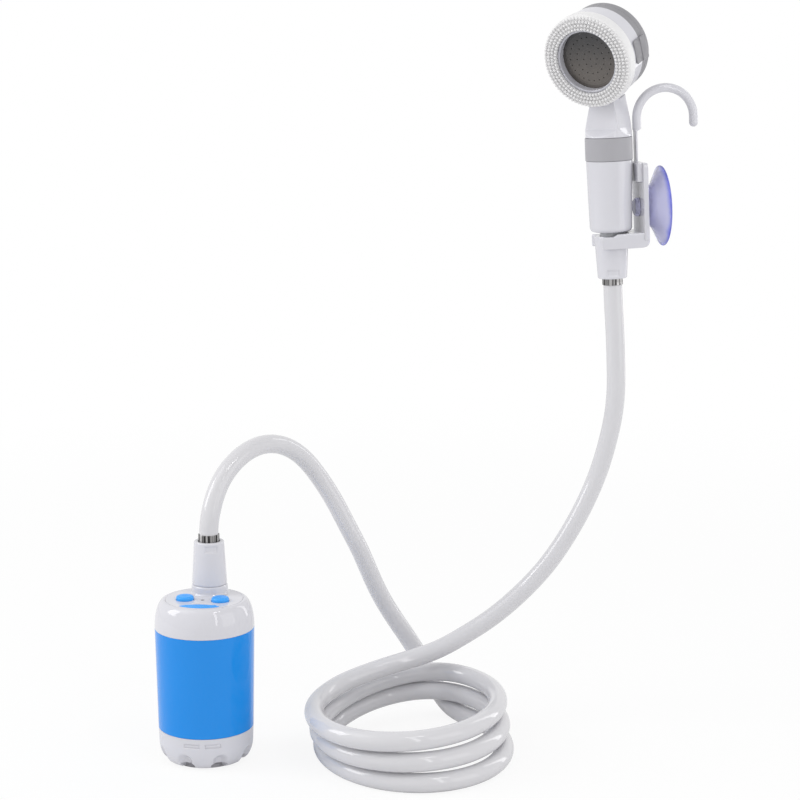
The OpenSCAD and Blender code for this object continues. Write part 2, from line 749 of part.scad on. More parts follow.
// Tapered nut whose narrow end passes the hose
module fitting_nut() {
    thread_bore_r = thread_r + fit;
    neck_bore_r = hose_r + ferrule_wall + slip + fit;
    step_z = thread_l + washer_t + tail_flange_t + nut_gap;
    edge = 0.8;
    rotate_extrude() polygon([[thread_bore_r, 0], [nut_wide_r - edge / 2, 0], [nut_wide_r, edge],
        [nut_narrow_r, nut_h - edge], [nut_narrow_r - edge, nut_h], [neck_bore_r, nut_h],
        [neck_bore_r, step_z], [thread_bore_r, step_z]]);
}

module fitting_washer() {
    translate([0, 0, thread_l]) ring(thread_r - fit, water_r + 1, washer_t);
}

// Tail of the hose with its flange and the step that carries the ferrule
module fitting_tail() {
    foot = thread_l + washer_t;
    step = hose_seat - tail_step;
    difference() {
        union() {
            translate([0, 0, foot]) cylinder(r = thread_r - fit, h = tail_flange_t);
            translate([0, 0, foot]) cylinder(r = hose_r + ferrule_wall, h = step - foot);
            translate([0, 0, foot]) cylinder(r = hose_r - 0.2, h = hose_seat - foot);
        }
        translate([0, 0, foot - over]) cylinder(r = water_r, h = hose_seat - foot + 2 * over);
    }
}

module fitting_ferrule() {
    translate([0, 0, hose_seat - tail_step]) ring(hose_r + 0.1 + ferrule_wall, hose_r + 0.1, ferrule_l);
}

module pump_nut() color("white") at_pump_fitting() fitting_nut();

module pump_washer() color("dimgray") at_pump_fitting() fitting_washer();

module pump_tail() color("silver") at_pump_fitting() fitting_tail();

module pump_ferrule() color("gray") at_pump_fitting() fitting_ferrule();

module handset_nut() color("white") at_handset_fitting() fitting_nut();

module handset_washer() color("dimgray") at_handset_fitting() fitting_washer();

module handset_tail() color("silver") at_handset_fitting() fitting_tail();

module handset_ferrule() color("gray") at_handset_fitting() fitting_ferrule();

module tube(points, first, last, side, count) {
    polyhedron(tube_corners(points, headings(points, first, last), side, hose_r, count),
        tube_faces(len(points), count), convexity = 8);
}

// Free stretch from the pump to the coil
module hose_arch() color("white") {
    seat_z = fitting_z + hose_seat;
    straight = [for (z = [seat_z, seat_z + hose_straight]) [outlet_x, outlet_y, z]];
    tube(concat(straight, hose_arch_points, [coil_points[0]]), [0, 0, 1], coil_heading(0),
        [0, 1, 0], hose_sides);
}

// Coil as one unbroken tube
module hose_coil() color("white") {
    polyhedron(tube_corners(coil_points, headings(coil_points, coil_heading(0), coil_heading(coil_turns)),
        [0, 0, 1], hose_r, coil_sides), tube_faces(coil_rings + 1, coil_sides), convexity = 8);
}

// Free stretch from the coil to the handset
module hose_rise() color("white")
    tube(concat([coil_points[coil_rings]], hose_rise_points), coil_heading(coil_turns), hose_end_heading,
        [0, 0, 1], hose_sides);

// Threaded stub below the handle
module handset_stub() color("dimgray") handset_frame() {
    foot = fitting_top - thread_l;
    seat = handle_z + handle_wall;
    rotate_extrude() polygon([[water_r, foot], [thread_r, foot], [thread_r, seat], [stub_flange_r, seat],
        [stub_flange_r, seat + stub_flange_t], [water_r, seat + stub_flange_t]]);
}

// Lower handle with a round foot
module handle_shell() color("white") handset_frame() translate([0, 0, handle_z]) {
    edge = 3;
    outer = concat([[thread_r + fit, 0], [handle_foot_r - edge, 0]],
        arc_points([handle_foot_r - edge, edge], [edge, edge], -90, 0, 8), [[handle_r, handle_l]]);
    inner = [[handle_r - handle_wall, handle_l], [handle_foot_r - handle_wall, edge + handle_wall],
        [handle_foot_r - edge, handle_wall], [thread_r + fit, handle_wall]];
    rotate_extrude() polygon(concat(outer, inner));
}

// Filter cartridge in the handle
module filter_cartridge() color("wheat") handset_frame() {
    foot = handle_z + handle_wall + stub_flange_t;
    cartridge_r = handle_foot_r - handle_wall - 1;
    translate([0, 0, foot]) ring(cartridge_r, water_r, band_z - foot);
}

// Grey band between the handle and the neck
module handle_band() color("darkgray") handset_frame() translate([0, 0, band_z])
    ring(band_r, band_r - handle_wall - 0.4, band_h);

// Neck with flat faces that narrows from a sloped shoulder up to the head
module neck_shell() color("white") handset_frame() {
    top_z = head_z - head_r * 0.7;
    shoulder_z = neck_z + 6.5;
    brim_z = neck_z + 1;
    waist = [13.4, 10.3, 11.3];
    top = [6.8, 7.5, 11.3];
    difference() {
        intersection() {
            translate([0, 0, neck_z]) cylinder(r = handle_r, h = top_z - neck_z);
            translate([0, 2 * handle_r, 0]) rotate([90, 0, 0]) linear_extrude(4 * handle_r) polygon([
                [-handle_r, neck_z], [handle_r, neck_z], [handle_r, brim_z], [waist[0], shoulder_z],
                [top[0], top_z], [-top[0], top_z], [-waist[0], shoulder_z], [-handle_r, brim_z]]);
            translate([-2 * handle_r, 0, 0]) rotate([90, 0, 90]) linear_extrude(4 * handle_r) polygon([
                [-handle_r, neck_z], [handle_r, neck_z], [handle_r, brim_z], [waist[2], shoulder_z],
                [top[2], top_z], [-top[1], top_z], [-waist[1], shoulder_z], [-handle_r, brim_z]]);
        }
        translate([0, 0, neck_z - over]) cylinder(r = water_r + 2, h = head_rise);
        translate([0, 0, head_z]) rotate([90 + head_tilt, 0, 0])
            translate([0, 0, hub_front - 0.1]) cylinder(r = head_r + 0.05, h = 2 * head_r);
        translate([0, 0, head_z]) rotate([90 + head_tilt, 0, 0])
            translate([0, 0, head_l - slip]) cylinder(r = brush_r + slip, h = 2 * head_r);
        translate([0, 0, head_z]) rotate([90 + head_tilt, 0, 0])
            translate([0, 0, -2 * head_r]) cylinder(r = head_r + tab_rise + slip, h = 2 * head_r + hub_front);
    }
}

// Cup of the head with a rear hub that carries the selector ring
module head_housing() color("white") head_frame() difference() {
    inlet_r = 4;
    inlet_z = hub_front + head_wall + inlet_r + 1;
    union() {
        translate([0, 0, hub_front]) cylinder(r = head_r, h = head_l - hub_front);
        translate([0, 0, 1]) cylinder(r = hub_ring_r, h = hub_front);
    }
    translate([0, 0, hub_front + head_wall]) cylinder(r = head_r - head_wall, h = head_l);
    translate([0, 0, -over]) cylinder(r = hub_ring_r - head_wall, h = hub_front);
    cylinder(r = hub_bore_r, h = head_l);
    translate([0, -head_r - over, inlet_z]) rotate([-90, 0, 0]) cylinder(r = inlet_r, h = 2 * head_wall);
}

// Grey ring at the back of the head, with a thumb tab that turns the spray
module selector_ring() color("darkgray") head_frame() {
    turn = 2;
    low = 1 + slip;
    mid = low + selector_w;
    outer = head_r + tab_rise;
    difference() {
        union() {
            rotate([0, 0, 100]) translate([0, 0, low]) cylinder(r = selector_r, h = selector_w);
            rotate([0, 0, turn]) intersection() {
                rotate([0, 0, 180]) rotate_extrude() polygon([[selector_r - 1, low], [outer, low], [outer, low + tab_w],
                    [head_r + slip, low + tab_w], [head_r + slip, mid], [selector_r - 1, mid]]);
                block([2 * head_r, tab_l, 4 * tab_w], [head_r, 0, 0]);
            }
        }
        rotate([0, 0, 100]) cylinder(r = hub_ring_r + run, h = 3 * tab_w);
    }
}

// Disc inside the head that the selector turns
module diverter_disc() color("dimgray") head_frame() {
    disc_z = hub_front + head_wall + slip;
    disc_r = head_r * 0.55;
    difference() {
        union() {
            translate([0, 0, disc_z]) cylinder(r = disc_r, h = 2.5);
            translate([0, 0, 2]) cylinder(r = hub_bore_r - run, h = disc_z);
        }
        at_angles([0, 120, 240], disc_r * 0.65) cylinder(r = 2.5, h = 2 * disc_z);
    }
}

// Domed cap behind the selector ring
module back_cap() color("darkgray") head_frame() {
    cap_r = selector_r;
    edge = 4;
    rotate_extrude() polygon(concat([[0, 1], [0, 1 - back_cap_t]],
        arc_points([cap_r - edge, 1.5 - back_cap_t + edge], [edge, edge], -90, 0, 6), [[cap_r, 1]]));
}

module plate_gasket() color("dimgray") head_frame() {
    gasket_r = brush_hole_r - fit;
    gasket_t = 1;
    translate([0, 0, face_z - gasket_t]) ring(gasket_r, gasket_r - 2.5, gasket_t);
}

// Perforated plate that sprays
module spray_plate() color("dimgray") head_frame() {
    hole_rings = [[1, 0], [8, 5.5], [16, 11], [24, 16.5]];
    difference() {
        translate([0, 0, face_z]) cylinder(r = brush_hole_r - fit, h = spray_t);
        for (ring_of = hole_rings) {
            at_angles([for (i = [0 : ring_of[0] - 1]) i * 360 / ring_of[0]], ring_of[1])
                translate([0, 0, face_z - over]) cylinder(r = 0.45, h = spray_t + 2 * over, $fn = 16);
        }
    }
}

// Clear ring that lines the brush ring's hole
module face_bezel() color("aliceblue") head_frame() {
    foot = face_z + spray_t;
    outer_r = brush_hole_r - fit;
    translate([0, 0, foot]) ring(outer_r, outer_r - bezel_wall, head_l + brush_t - 1 - foot);
}

// Silicone ring with rows of square nubs on its front
module brush_ring() {
    rows = nub_rows;
    columns = nub_count;
    row_w = (brush_r - brush_hole_r) / rows;
    base_share = [0.2, 0.8];
    tip_share = [0.32, 0.68];
    function at(row, column, z) = let (r = brush_hole_r + row * row_w, a = column * 360 / columns)
        [r * cos(a), r * sin(a), z];
    function square_at(i, j, s, z) =
        [at(i + s[0], j + s[0], z), at(i + s[1], j + s[0], z),
            at(i + s[1], j + s[1], z), at(i + s[0], j + s[1], z)];
    grid = [for (i = [0 : rows], j = [0 : columns - 1]) at(i, j, brush_t)];
    floor_rings = [for (i = [0, rows], j = [0 : columns - 1]) at(i, j, 0)];
    nubs = [for (i = [0 : rows - 1], j = [0 : columns - 1])
        each concat(square_at(i, j, base_share, brush_t), square_at(i, j, tip_share, brush_t + nub_h))];
    first_floor = len(grid);
    first_nub = first_floor + len(floor_rings);
    function around(j) = (j + 1) % columns;
    cell_faces = [for (i = [0 : rows - 1], j = [0 : columns - 1]) let (
            outer = [i * columns + j, (i + 1) * columns + j, (i + 1) * columns + around(j),
                i * columns + around(j)],
            n = first_nub + 8 * (i * columns + j))
        each concat(
            [for (k = [0 : 3]) let (m = (k + 1) % 4) each [
                [n + k, n + m, outer[m]], [n + k, outer[m], outer[k]],
                [n + k, n + k + 4, n + m + 4], [n + k, n + m + 4, n + m]]],
            [[n + 4, n + 7, n + 6], [n + 4, n + 6, n + 5]])];
    wall_faces = [for (j = [0 : columns - 1]) let (
            k = around(j), inner = first_floor, outer = first_floor + columns,
            rim = rows * columns)
        each [[inner + j, outer + j, outer + k], [inner + j, outer + k, inner + k],
            [rim + j, rim + k, outer + k], [rim + j, outer + k, outer + j],
            [k, j, inner + j], [k, inner + j, inner + k]]];
    color("whitesmoke") head_frame() translate([0, 0, head_l])
        polyhedron(concat(grid, floor_rings, nubs), concat(cell_faces, wall_faces), convexity = 6);
}

// Bracket with a fork for the hose nut, a back plate and a clip
module holder_bracket() {
    function nut_at(z) = nut_wide_r - (nut_wide_r - nut_narrow_r) * (fitting_top - z) / nut_h;
    fork_r = nut_wide_r + slip + fork_wall;
    fork_reach = 12.5;
    clip_side = 10;
    clip_w = stem_w + 2 * (slip + clip_side);
    arm_x = back_x + back_t + 1;
    step_h = 2;
    corner_r = 4.5;
    color("white") holder_frame() difference() {
        union() {
            translate([-fork_reach, -fork_r, fork_z]) cube([fork_reach + arm_x, 2 * fork_r, fork_h]);
            translate([back_x, -back_w / 2, fork_z]) cube([back_t, back_w, back_h]);
            translate([clip_x, -clip_w / 2, clip_z0])
                cube([back_x + back_t - clip_x, clip_w, clip_h]);
        }
        translate([0, 0, fork_z])
            cylinder(r1 = nut_at(fork_z) + slip, r2 = nut_at(fork_z + fork_h) + slip, h = fork_h);
        translate([0, 0, fork_z - over]) cylinder(r = nut_at(fork_z) + slip, h = 2 * over);
        translate([0, 0, fork_z + fork_h - over]) cylinder(r = nut_at(fork_z + fork_h) + slip, h = 2 * over);
        translate([-2 * fork_r, -mouth_w / 2, fork_z - over]) cube([2 * fork_r, mouth_w, fork_h + 2 * over]);
        translate([stem_x - slip, -stem_w / 2 - slip, clip_z0 - over])
            cube([stem_t + 2 * slip, stem_w + 2 * slip, clip_h + 2 * over]);
        translate([0, 0, cup_z]) rotate([0, 90, 0]) cylinder(r = stud_r + slip, h = 2 * arm_x);
        translate([0, 2 * fork_r, fork_z + fork_h]) rotate([90, 0, 0]) linear_extrude(4 * fork_r)
            polygon([[-2 * fork_r, over], [-2 * fork_r, -step_h], [-2.7, -step_h], [2.5, 0], [2.5, over]]);
        difference() {
            translate([arm_x - corner_r, -back_w, fork_z - over])
                cube([corner_r + over, 2 * back_w, corner_r + over]);
            translate([arm_x - corner_r, 2 * back_w, fork_z + corner_r]) rotate([90, 0, 0])
                cylinder(r = corner_r, h = 4 * back_w);
        }
    }
}

// Hook with a flat stem and a round rod
module hook() color("white") holder_frame() {
    bend_z = rod_z + rod_l;
    bend_x = rod_x + hook_bend_r;
    shoulder_h = 5;
    translate([stem_x, -stem_w / 2, stem_z]) cube([stem_t, stem_w, stem_l]);
    translate([stem_x, -rod_r, rod_z - shoulder_h]) cube([stem_t + 2, 2 * rod_r, shoulder_h]);
    translate([rod_x, 0, rod_z - 2]) cylinder(r = rod_r, h = rod_l + 2);
    translate([bend_x, 0, bend_z]) rotate([90, 0, 0]) rotate_extrude(angle = 180)
        translate([hook_bend_r, 0]) circle(r = rod_r);
    translate([bend_x + hook_bend_r, 0, bend_z - hook_tip_l]) cylinder(r = rod_r, h = hook_tip_l);
    translate([bend_x + hook_bend_r, 0, bend_z - hook_tip_l]) sphere(r = rod_r);
}

// Soft cup whose stud and knob pass through the back plate
module suction_cup() color("lightsteelblue") holder_frame() translate([0, 0, cup_z]) rotate([0, 90, 0]) {
    knob_t = 3.4;
    knob_top = back_x - slip;
    cup_foot = back_x + back_t + slip;
    neck_r = 11;
    rim_t = 1.2;
    rim_w = 2;
    cup_web = 4.5;
    mid_r = neck_r + 0.36 * (cup_r - neck_r);
    mid_x = cup_foot + cup_depth * 0.5;
    rotate_extrude() polygon([[0, knob_top - knob_t], [knob_r - 1, knob_top - knob_t],
        [knob_r, knob_top - knob_t + 1],
        [knob_r, knob_top], [stud_r, knob_top], [stud_r, cup_foot], [neck_r, cup_foot],
        [mid_r, mid_x], [cup_r, cup_foot + cup_depth - rim_t],
        [cup_r, cup_foot + cup_depth], [cup_r - rim_w, cup_foot + cup_depth],
        [mid_r, mid_x + 2.6], [neck_r, cup_foot + cup_web],
        [0, cup_foot + cup_web]]);
}

base_plate();
base_shell();
base_screws();
bulkhead();
volute_housing();
impeller();
motor_shaft();
armature();
motor_can();
motor_magnets();
motor_end_cap();
shaft_seal();
battery_tray();
battery_cells();
battery_clip();
motor_leads();
outlet_pipe();
sleeve();
lower_seal();
upper_seal();
top_shell();
control_panel();
control_board();
button_switches();
light_guide();
charge_socket();
power_button();
mode_button();
port_cover();
outlet_spigot();
pump_nut();
pump_washer();
pump_tail();
pump_ferrule();
hose_arch();
hose_coil();
hose_rise();
handset_ferrule();
handset_tail();
handset_washer();
handset_nut();
handset_stub();
handle_shell();
filter_cartridge();
handle_band();
neck_shell();
head_housing();
selector_ring();
diverter_disc();
back_cap();
plate_gasket();
spray_plate();
face_bezel();
brush_ring();
holder_bracket();
hook();
suction_cup();
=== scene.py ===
import json
import math

import bmesh
import bpy
import numpy as np
from mathutils import Matrix, Vector


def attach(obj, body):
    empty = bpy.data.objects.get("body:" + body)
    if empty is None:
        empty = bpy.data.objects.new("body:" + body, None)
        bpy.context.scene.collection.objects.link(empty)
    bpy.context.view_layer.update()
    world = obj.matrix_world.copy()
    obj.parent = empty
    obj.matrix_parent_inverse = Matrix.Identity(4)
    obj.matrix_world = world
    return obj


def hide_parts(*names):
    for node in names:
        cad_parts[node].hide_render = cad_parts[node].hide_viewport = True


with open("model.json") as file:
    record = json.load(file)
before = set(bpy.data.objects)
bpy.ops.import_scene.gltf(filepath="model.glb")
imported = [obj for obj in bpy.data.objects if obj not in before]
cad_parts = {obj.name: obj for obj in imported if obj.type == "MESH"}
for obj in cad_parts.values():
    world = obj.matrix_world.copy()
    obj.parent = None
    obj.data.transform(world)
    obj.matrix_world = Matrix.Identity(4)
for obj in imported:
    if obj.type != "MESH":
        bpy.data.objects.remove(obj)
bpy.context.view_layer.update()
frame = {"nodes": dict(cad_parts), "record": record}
print("frame loaded:", len(frame["nodes"]), "solids")


# one socket of a shader tree; arithmetic on it adds Math nodes
class Wire:
    def __init__(self, tree, socket):
        self.tree, self.socket = tree, socket

    # any other node: its kind, its settings, its sockets' values or links
    def node(self, kind, settings=None, inputs=None, out=0):
        made = self.tree.nodes.new("ShaderNode" + kind)
        for key, value in (settings or {}).items():
            setattr(made, key, value)
        for key, value in (inputs or {}).items():
            feed(self.tree, made.inputs[key], value)
        return Wire(self.tree, made.outputs[out] if made.outputs else None)

    def maths(self, operation, *values):
        return self.node("Math", {"operation": operation}, dict(enumerate(values)))

    def __add__(self, other):
        return self.maths("ADD", self, other)

    def __radd__(self, other):
        return self.maths("ADD", other, self)

    def __sub__(self, other):
        return self.maths("SUBTRACT", self, other)

    def __rsub__(self, other):
        return self.maths("SUBTRACT", other, self)

    def __mul__(self, other):
        return self.maths("MULTIPLY", self, other)

    def __rmul__(self, other):
        return self.maths("MULTIPLY", other, self)


def feed(tree, socket, value):
    if isinstance(value, Wire):
        tree.links.new(value.socket, socket)
    elif isinstance(value, (tuple, list)) and len(value) == 3 and socket.type == "RGBA":
        socket.default_value = (*value, 1)
    else:
        socket.default_value = value


# camera as the photo has it: level, looking along +Y and a little down
shot = {"place": (0.1415, -1.457, 0.533), "down": 10.4, "focal": 2087, "size": 800, "sensor": 36, "clip": (0.05, 60)}


def makeCamera(shot):
    data = bpy.data.cameras.new("camera")
    data.sensor_width = shot["sensor"]
    data.lens = shot["focal"] / shot["size"] * shot["sensor"]
    data.clip_start, data.clip_end = shot["clip"]
    camera = bpy.data.objects.new("camera", data)
    bpy.context.scene.collection.objects.link(camera)
    camera.location = shot["place"]
    camera.rotation_euler = (math.radians(90 - shot["down"]), 0, 0)
    bpy.context.scene.camera = camera


makeCamera(shot)

mergeGap = 2e-6  # points closer than this, in metres, are one


# quads of a grid of rows and columns
def gridQuads(rows, columns):
    a = (np.arange(rows - 1)[:, None] * columns + np.arange(columns - 1)[None]).ravel()
    return np.stack([a, a + 1, a + columns + 1, a + columns], 1)


# a surface given as grids of points becomes a mesh: seams and poles close by merging, and faces turn outwards
def makeSurface(name, *grids):
    points, quads, first = [], [], 0
    for grid in grids:
        rows, columns = grid.shape[:2]
        points.append(grid.reshape(-1, 3))
        quads.append(gridQuads(rows, columns) + first)
        first += rows * columns
    points, quads = np.concatenate(points), np.concatenate(quads)
    mesh = bpy.data.meshes.new(name)
    mesh.vertices.add(len(points))
    mesh.vertices.foreach_set("co", points.astype(np.float32).ravel())
    mesh.loops.add(quads.size)
    mesh.loops.foreach_set("vertex_index", quads.astype(np.int32).ravel())
    mesh.polygons.add(len(quads))
    mesh.polygons.foreach_set("loop_start", np.arange(0, quads.size, 4, dtype=np.int32))
    mesh.update()
    work = bmesh.new()
    work.from_mesh(mesh)
    bmesh.ops.remove_doubles(work, verts=work.verts, dist=mergeGap)
    bmesh.ops.dissolve_degenerate(work, dist=mergeGap / 20, edges=work.edges)
    bmesh.ops.recalc_face_normals(work, faces=work.faces)
    work.to_mesh(mesh)
    work.free()
    weighNormals(mesh)
    piece = bpy.data.objects.new(name, mesh)
    bpy.context.scene.collection.objects.link(piece)
    return piece


# smooth normals in which large faces count more, so that flat faces stay flat beside small roundings
def weighNormals(mesh):
    faces = len(mesh.polygons)
    mesh.polygons.foreach_set("use_smooth", np.ones(faces, bool))
    area, flat = np.zeros(faces, np.float32), np.zeros(faces * 3, np.float32)
    count, corner = np.zeros(faces, np.int32), np.zeros(len(mesh.loops), np.int32)
    mesh.polygons.foreach_get("area", area)
    mesh.polygons.foreach_get("normal", flat)
    mesh.polygons.foreach_get("loop_total", count)
    mesh.loops.foreach_get("vertex_index", corner)
    weight = np.repeat(flat.reshape(-1, 3) * area[:, None], count, 0)
    total = np.zeros((len(mesh.vertices), 3))
    np.add.at(total, corner, weight)
    total /= np.maximum(np.linalg.norm(total, axis=1), 1e-12)[:, None]
    mesh.normals_split_custom_set_from_vertices(total.tolist())


def spin(axis, degrees):
    return np.array(Matrix.Rotation(math.radians(degrees), 4, axis))


def shift(x, y, z):
    return np.array(Matrix.Translation((x, y, z)))


# where the groups stand, in millimetres and degrees
stand = {"pumpTurn": -8, "outlet": (2.505, 17.825), "nutFoot": 126.5, "hoseEnd": (301, 100, 340), "lean": 2.7,
         "handsetTurn": -34, "headHigh": 511, "headTilt": 17, "nutTop": 372.5, "holderTurn": 8, "cupHigh": 392.5}
plainFrame = np.eye(4)
pumpFrame = spin("Z", stand["pumpTurn"])
spoutFrame = shift(*stand["outlet"], 0)
outletFrame = shift(*stand["outlet"], stand["nutFoot"])
endFrame = shift(*stand["hoseEnd"]) @ spin("Y", -stand["lean"]) @ shift(0, 0, -stand["hoseEnd"][2])
handsetFrame = endFrame @ spin("Z", stand["handsetTurn"])
headFrame = handsetFrame @ shift(0, 0, stand["headHigh"]) @ spin("X", 90 + stand["headTilt"])
fittingFrame = endFrame @ shift(0, 0, stand["nutTop"]) @ np.diag([1.0, 1, -1, 1])
holderFrame = endFrame @ spin("Z", stand["holderTurn"])
cupFrame = holderFrame @ shift(0, 0, stand["cupHigh"]) @ spin("Y", 90)

bodyOf = {node: body for body, nodes in frame["record"]["behaviour"]["bodies"].items() for node in nodes}
slotOf = {part["node"]: part["material_slot"] for part in frame["record"]["subparts"]}
# nodes whose finish is not their slot's; the selector ring and back cap take a darker copy of the grey plastic, painted
# shade for the head's shaded side
finishOf = {"selector_ring": "grey_plastic_shaded", "back_cap": "grey_plastic_shaded", "handset_stub": "inner_plastic"}
dressed = []


# points in millimetres in a group's frame become points in metres in the scene
def put(grid, where):
    return (grid @ where[:3, :3].T + where[:3, 3]) / 1000


# a piece that stands for CAD nodes, rides their body and takes their finish
def addPiece(name, nodes, where, *grids):
    return register(makeSurface(name, *[put(grid, where) for grid in grids]), *nodes)


# the first node gives a piece its body, its slot and its finish
def register(piece, *nodes):
    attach(piece, bodyOf[nodes[0]])
    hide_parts(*nodes)
    dressed.append((piece, finishOf.get(nodes[0], slotOf[nodes[0]])))
    return piece


# a line of corners (across, along, radius) whose corners are rounded by arcs; an arc takes at most its share
# of a side, and a corner whose half angle is past straight stays
def rounded(corners, closed=False, steps=6, share=0.49, straight=1.55):
    spots = np.array([c[:2] for c in corners], float)
    line = [] if closed else [spots[:1]]
    for i in range(len(corners)) if closed else range(1, len(corners) - 1):
        before, spot, after = spots[i - 1], spots[i], spots[(i + 1) % len(spots)]
        back, ahead = before - spot, after - spot
        backLength, aheadLength = np.linalg.norm(back), np.linalg.norm(ahead)
        back, ahead = back / backLength, ahead / aheadLength
        half = np.arccos(np.clip(back @ ahead, -1, 1)) / 2
        radius = corners[i][2] if len(corners[i]) > 2 else 0
        if radius == 0 or half > straight:
            line.append(spot[None])
            continue
        reach = min(radius / np.tan(half), share * backLength, share * aheadLength)
        radius = reach * np.tan(half)
        centre = spot + (back + ahead) / np.linalg.norm(back + ahead) * radius / np.sin(half)
        start, end = spot + back * reach - centre, spot + ahead * reach - centre
        t = np.linspace(0, 1, steps + 1)[:, None]
        whole = np.pi - 2 * half
        line.append(centre + (np.sin((1 - t) * whole) * start + np.sin(t * whole) * end) / np.sin(whole))
    line.append(line[0][:1] if closed else spots[-1:])
    return np.concatenate(line)


# a profile of (radius, height) turned about the axis; dent(angle, height, radius) is taken off the radius
def turned(profile, sides=96, dent=None):
    angle = np.linspace(0, 2 * np.pi, sides + 1)[None]
    radius, height = profile[:, :1] + 0 * angle, profile[:, 1:] + 0 * angle
    if dent:
        radius = radius - dent(angle + 0 * radius, height, radius)
        radius[:, -1] = radius[:, 0]
    return np.stack([radius * np.cos(angle), radius * np.sin(angle), height], -1)


# points between rows, so that a profile can carry fine detail
def refined(profile, step):
    rows = [profile[:1]]
    for a, b in zip(profile[:-1], profile[1:]):
        count = max(1, int(np.ceil(np.linalg.norm(b - a) / step)))
        rows.append(a + (b - a) * np.linspace(0, 1, count + 1)[1:, None])
    return np.concatenate(rows)


# rises smoothly from 0 to 1 between low and high
def ease(value, low, high):
    t = np.clip((value - low) / (high - low), 0, 1)
    return t * t * (3 - 2 * t)


# angle from a direction, between half a turn to either side
def turnFrom(angle, direction):
    return np.mod(angle - direction + np.pi, 2 * np.pi) - np.pi


# share of the full radius along a line whose two ends close
def ends(count):
    share = np.ones(count)
    share[[0, -1]] = 0
    return share


# a block with rounded corners seen from above and rounded edges: an outline that shrinks towards its faces
def slab(wide, deep, low, high, corner, edge, steps=6):
    quarter = np.linspace(0, np.pi / 2, steps + 1)
    angle = np.concatenate([quarter + k * np.pi / 2 for k in range(4)] + [quarter[:1]])
    side = np.concatenate([np.full(steps + 1, k) for k in range(4)] + [[0]])
    right, front = np.where((side == 0) | (side == 3), 1, -1), np.where(side < 2, 1, -1)
    inset = edge - edge * np.sin(quarter)
    inset = np.concatenate([inset, inset[::-1]])
    bow = edge * np.cos(quarter)
    height = np.concatenate([low + edge - bow, (high - edge + bow)[::-1]])
    across = (wide / 2 - corner) * right + (corner - inset)[:, None] * np.cos(angle)
    along = (deep / 2 - corner) * front + (corner - inset)[:, None] * np.sin(angle)
    skin = np.stack([across, along, height[:, None] + 0 * across], -1)
    middle = np.zeros((1, len(angle), 3))
    return np.concatenate([middle + (0, 0, low), skin, middle + (0, 0, high)])


# a CAD solid whose points are merged and whose edges sharper than an angle are bevelled
def bevelled(node, width, segments=3, flat=0.01, sharpFrom=0.5):
    mesh = frame["nodes"][node].data.copy()
    mesh.materials.clear()
    work = bmesh.new()
    work.from_mesh(mesh)
    bmesh.ops.remove_doubles(work, verts=work.verts, dist=mergeGap)
    bmesh.ops.dissolve_limit(work, angle_limit=flat, verts=work.verts, edges=work.edges)
    sharp = [e for e in work.edges if len(e.link_faces) == 2 and e.calc_face_angle() > sharpFrom]
    bmesh.ops.bevel(work, geom=sharp, offset=width / 1000, segments=segments, profile=0.5, affect="EDGES",
                    clamp_overlap=True)
    bmesh.ops.recalc_face_normals(work, faces=work.faces)
    work.to_mesh(mesh)
    work.free()
    weighNormals(mesh)
    piece = bpy.data.objects.new(node + "Bevelled", mesh)
    bpy.context.scene.collection.objects.link(piece)
    register(piece, node)


# the hose's middle line: the pump's outlet, the arch, the coil and the rise, in millimetres
hose = {
    "radius": 7, "sides": 40, "step": 4, "coilPoints": 64,
    "start": [(*stand["outlet"], 159), (*stand["outlet"], 166)],
    "arch": [(4, 19.5, 178.5), (10.5, 28, 199), (22, 42, 213.5), (36, 58.5, 220), (51.5, 76, 217.5),
             (66.5, 90.5, 206), (79.5, 99.5, 188), (91, 102.5, 168.5), (101, 103.5, 148.5), (110.5, 106.5, 128.5),
             (118.5, 111.5, 108), (126.5, 118.5, 88.5), (137, 125.5, 68.5), (151, 127, 46.5), (161.5, 120.5, 30),
             (170.5, 108, 16.5), (181, 88.5, 8.4)],
    "coil": {"x": 152, "y": 10, "wide": 66, "deep": 82, "rise": 15, "turns": 2.625, "first": 45, "climb": (0.65, 0.31),
             "drift": 2.3, "slant": 7, "even": 0.9},
    "rise": [(86.3, 30.3, 38), (98.3, 47.7, 40.5), (114.4, 60.6, 43.5), (133, 70.5, 47), (153, 77.5, 51),
             (172.5, 82.5, 57), (191, 87.5, 66), (209, 92, 76.5), (225.5, 95, 89), (241, 97, 103.5), (255, 98.5, 119.5),
             (267, 99.5, 137), (277.5, 100, 155.5), (286.5, 100.5, 174.5), (294, 100.5, 194.5), (299.5, 100, 215),
             (303.5, 99.5, 236), (305, 99, 257), (304.5, 99.5, 278.5), (303.5, 100, 299.5), (302, 100, 321),
             stand["hoseEnd"]],
}


# coil: an ellipse walked clockwise that climbs one hose width towards the end of each turn, drifts and slants
def coilLine(coil, radius, count):
    turn = np.linspace(0, coil["turns"], count)
    angle = np.radians(coil["first"] - 360 * turn)
    begin, span = coil["climb"]
    share = np.clip((turn - np.floor(turn) - begin) / span, 0, 1)
    height = radius + coil["rise"] * (np.floor(turn) + share * share * (3 - 2 * share))
    skew = coil["slant"] * (turn - coil["even"])
    x = coil["x"] - coil["drift"] * turn + coil["wide"] * np.cos(angle) + skew * np.sin(angle)
    return np.stack([x, coil["y"] + coil["deep"] * np.sin(angle), height], 1)


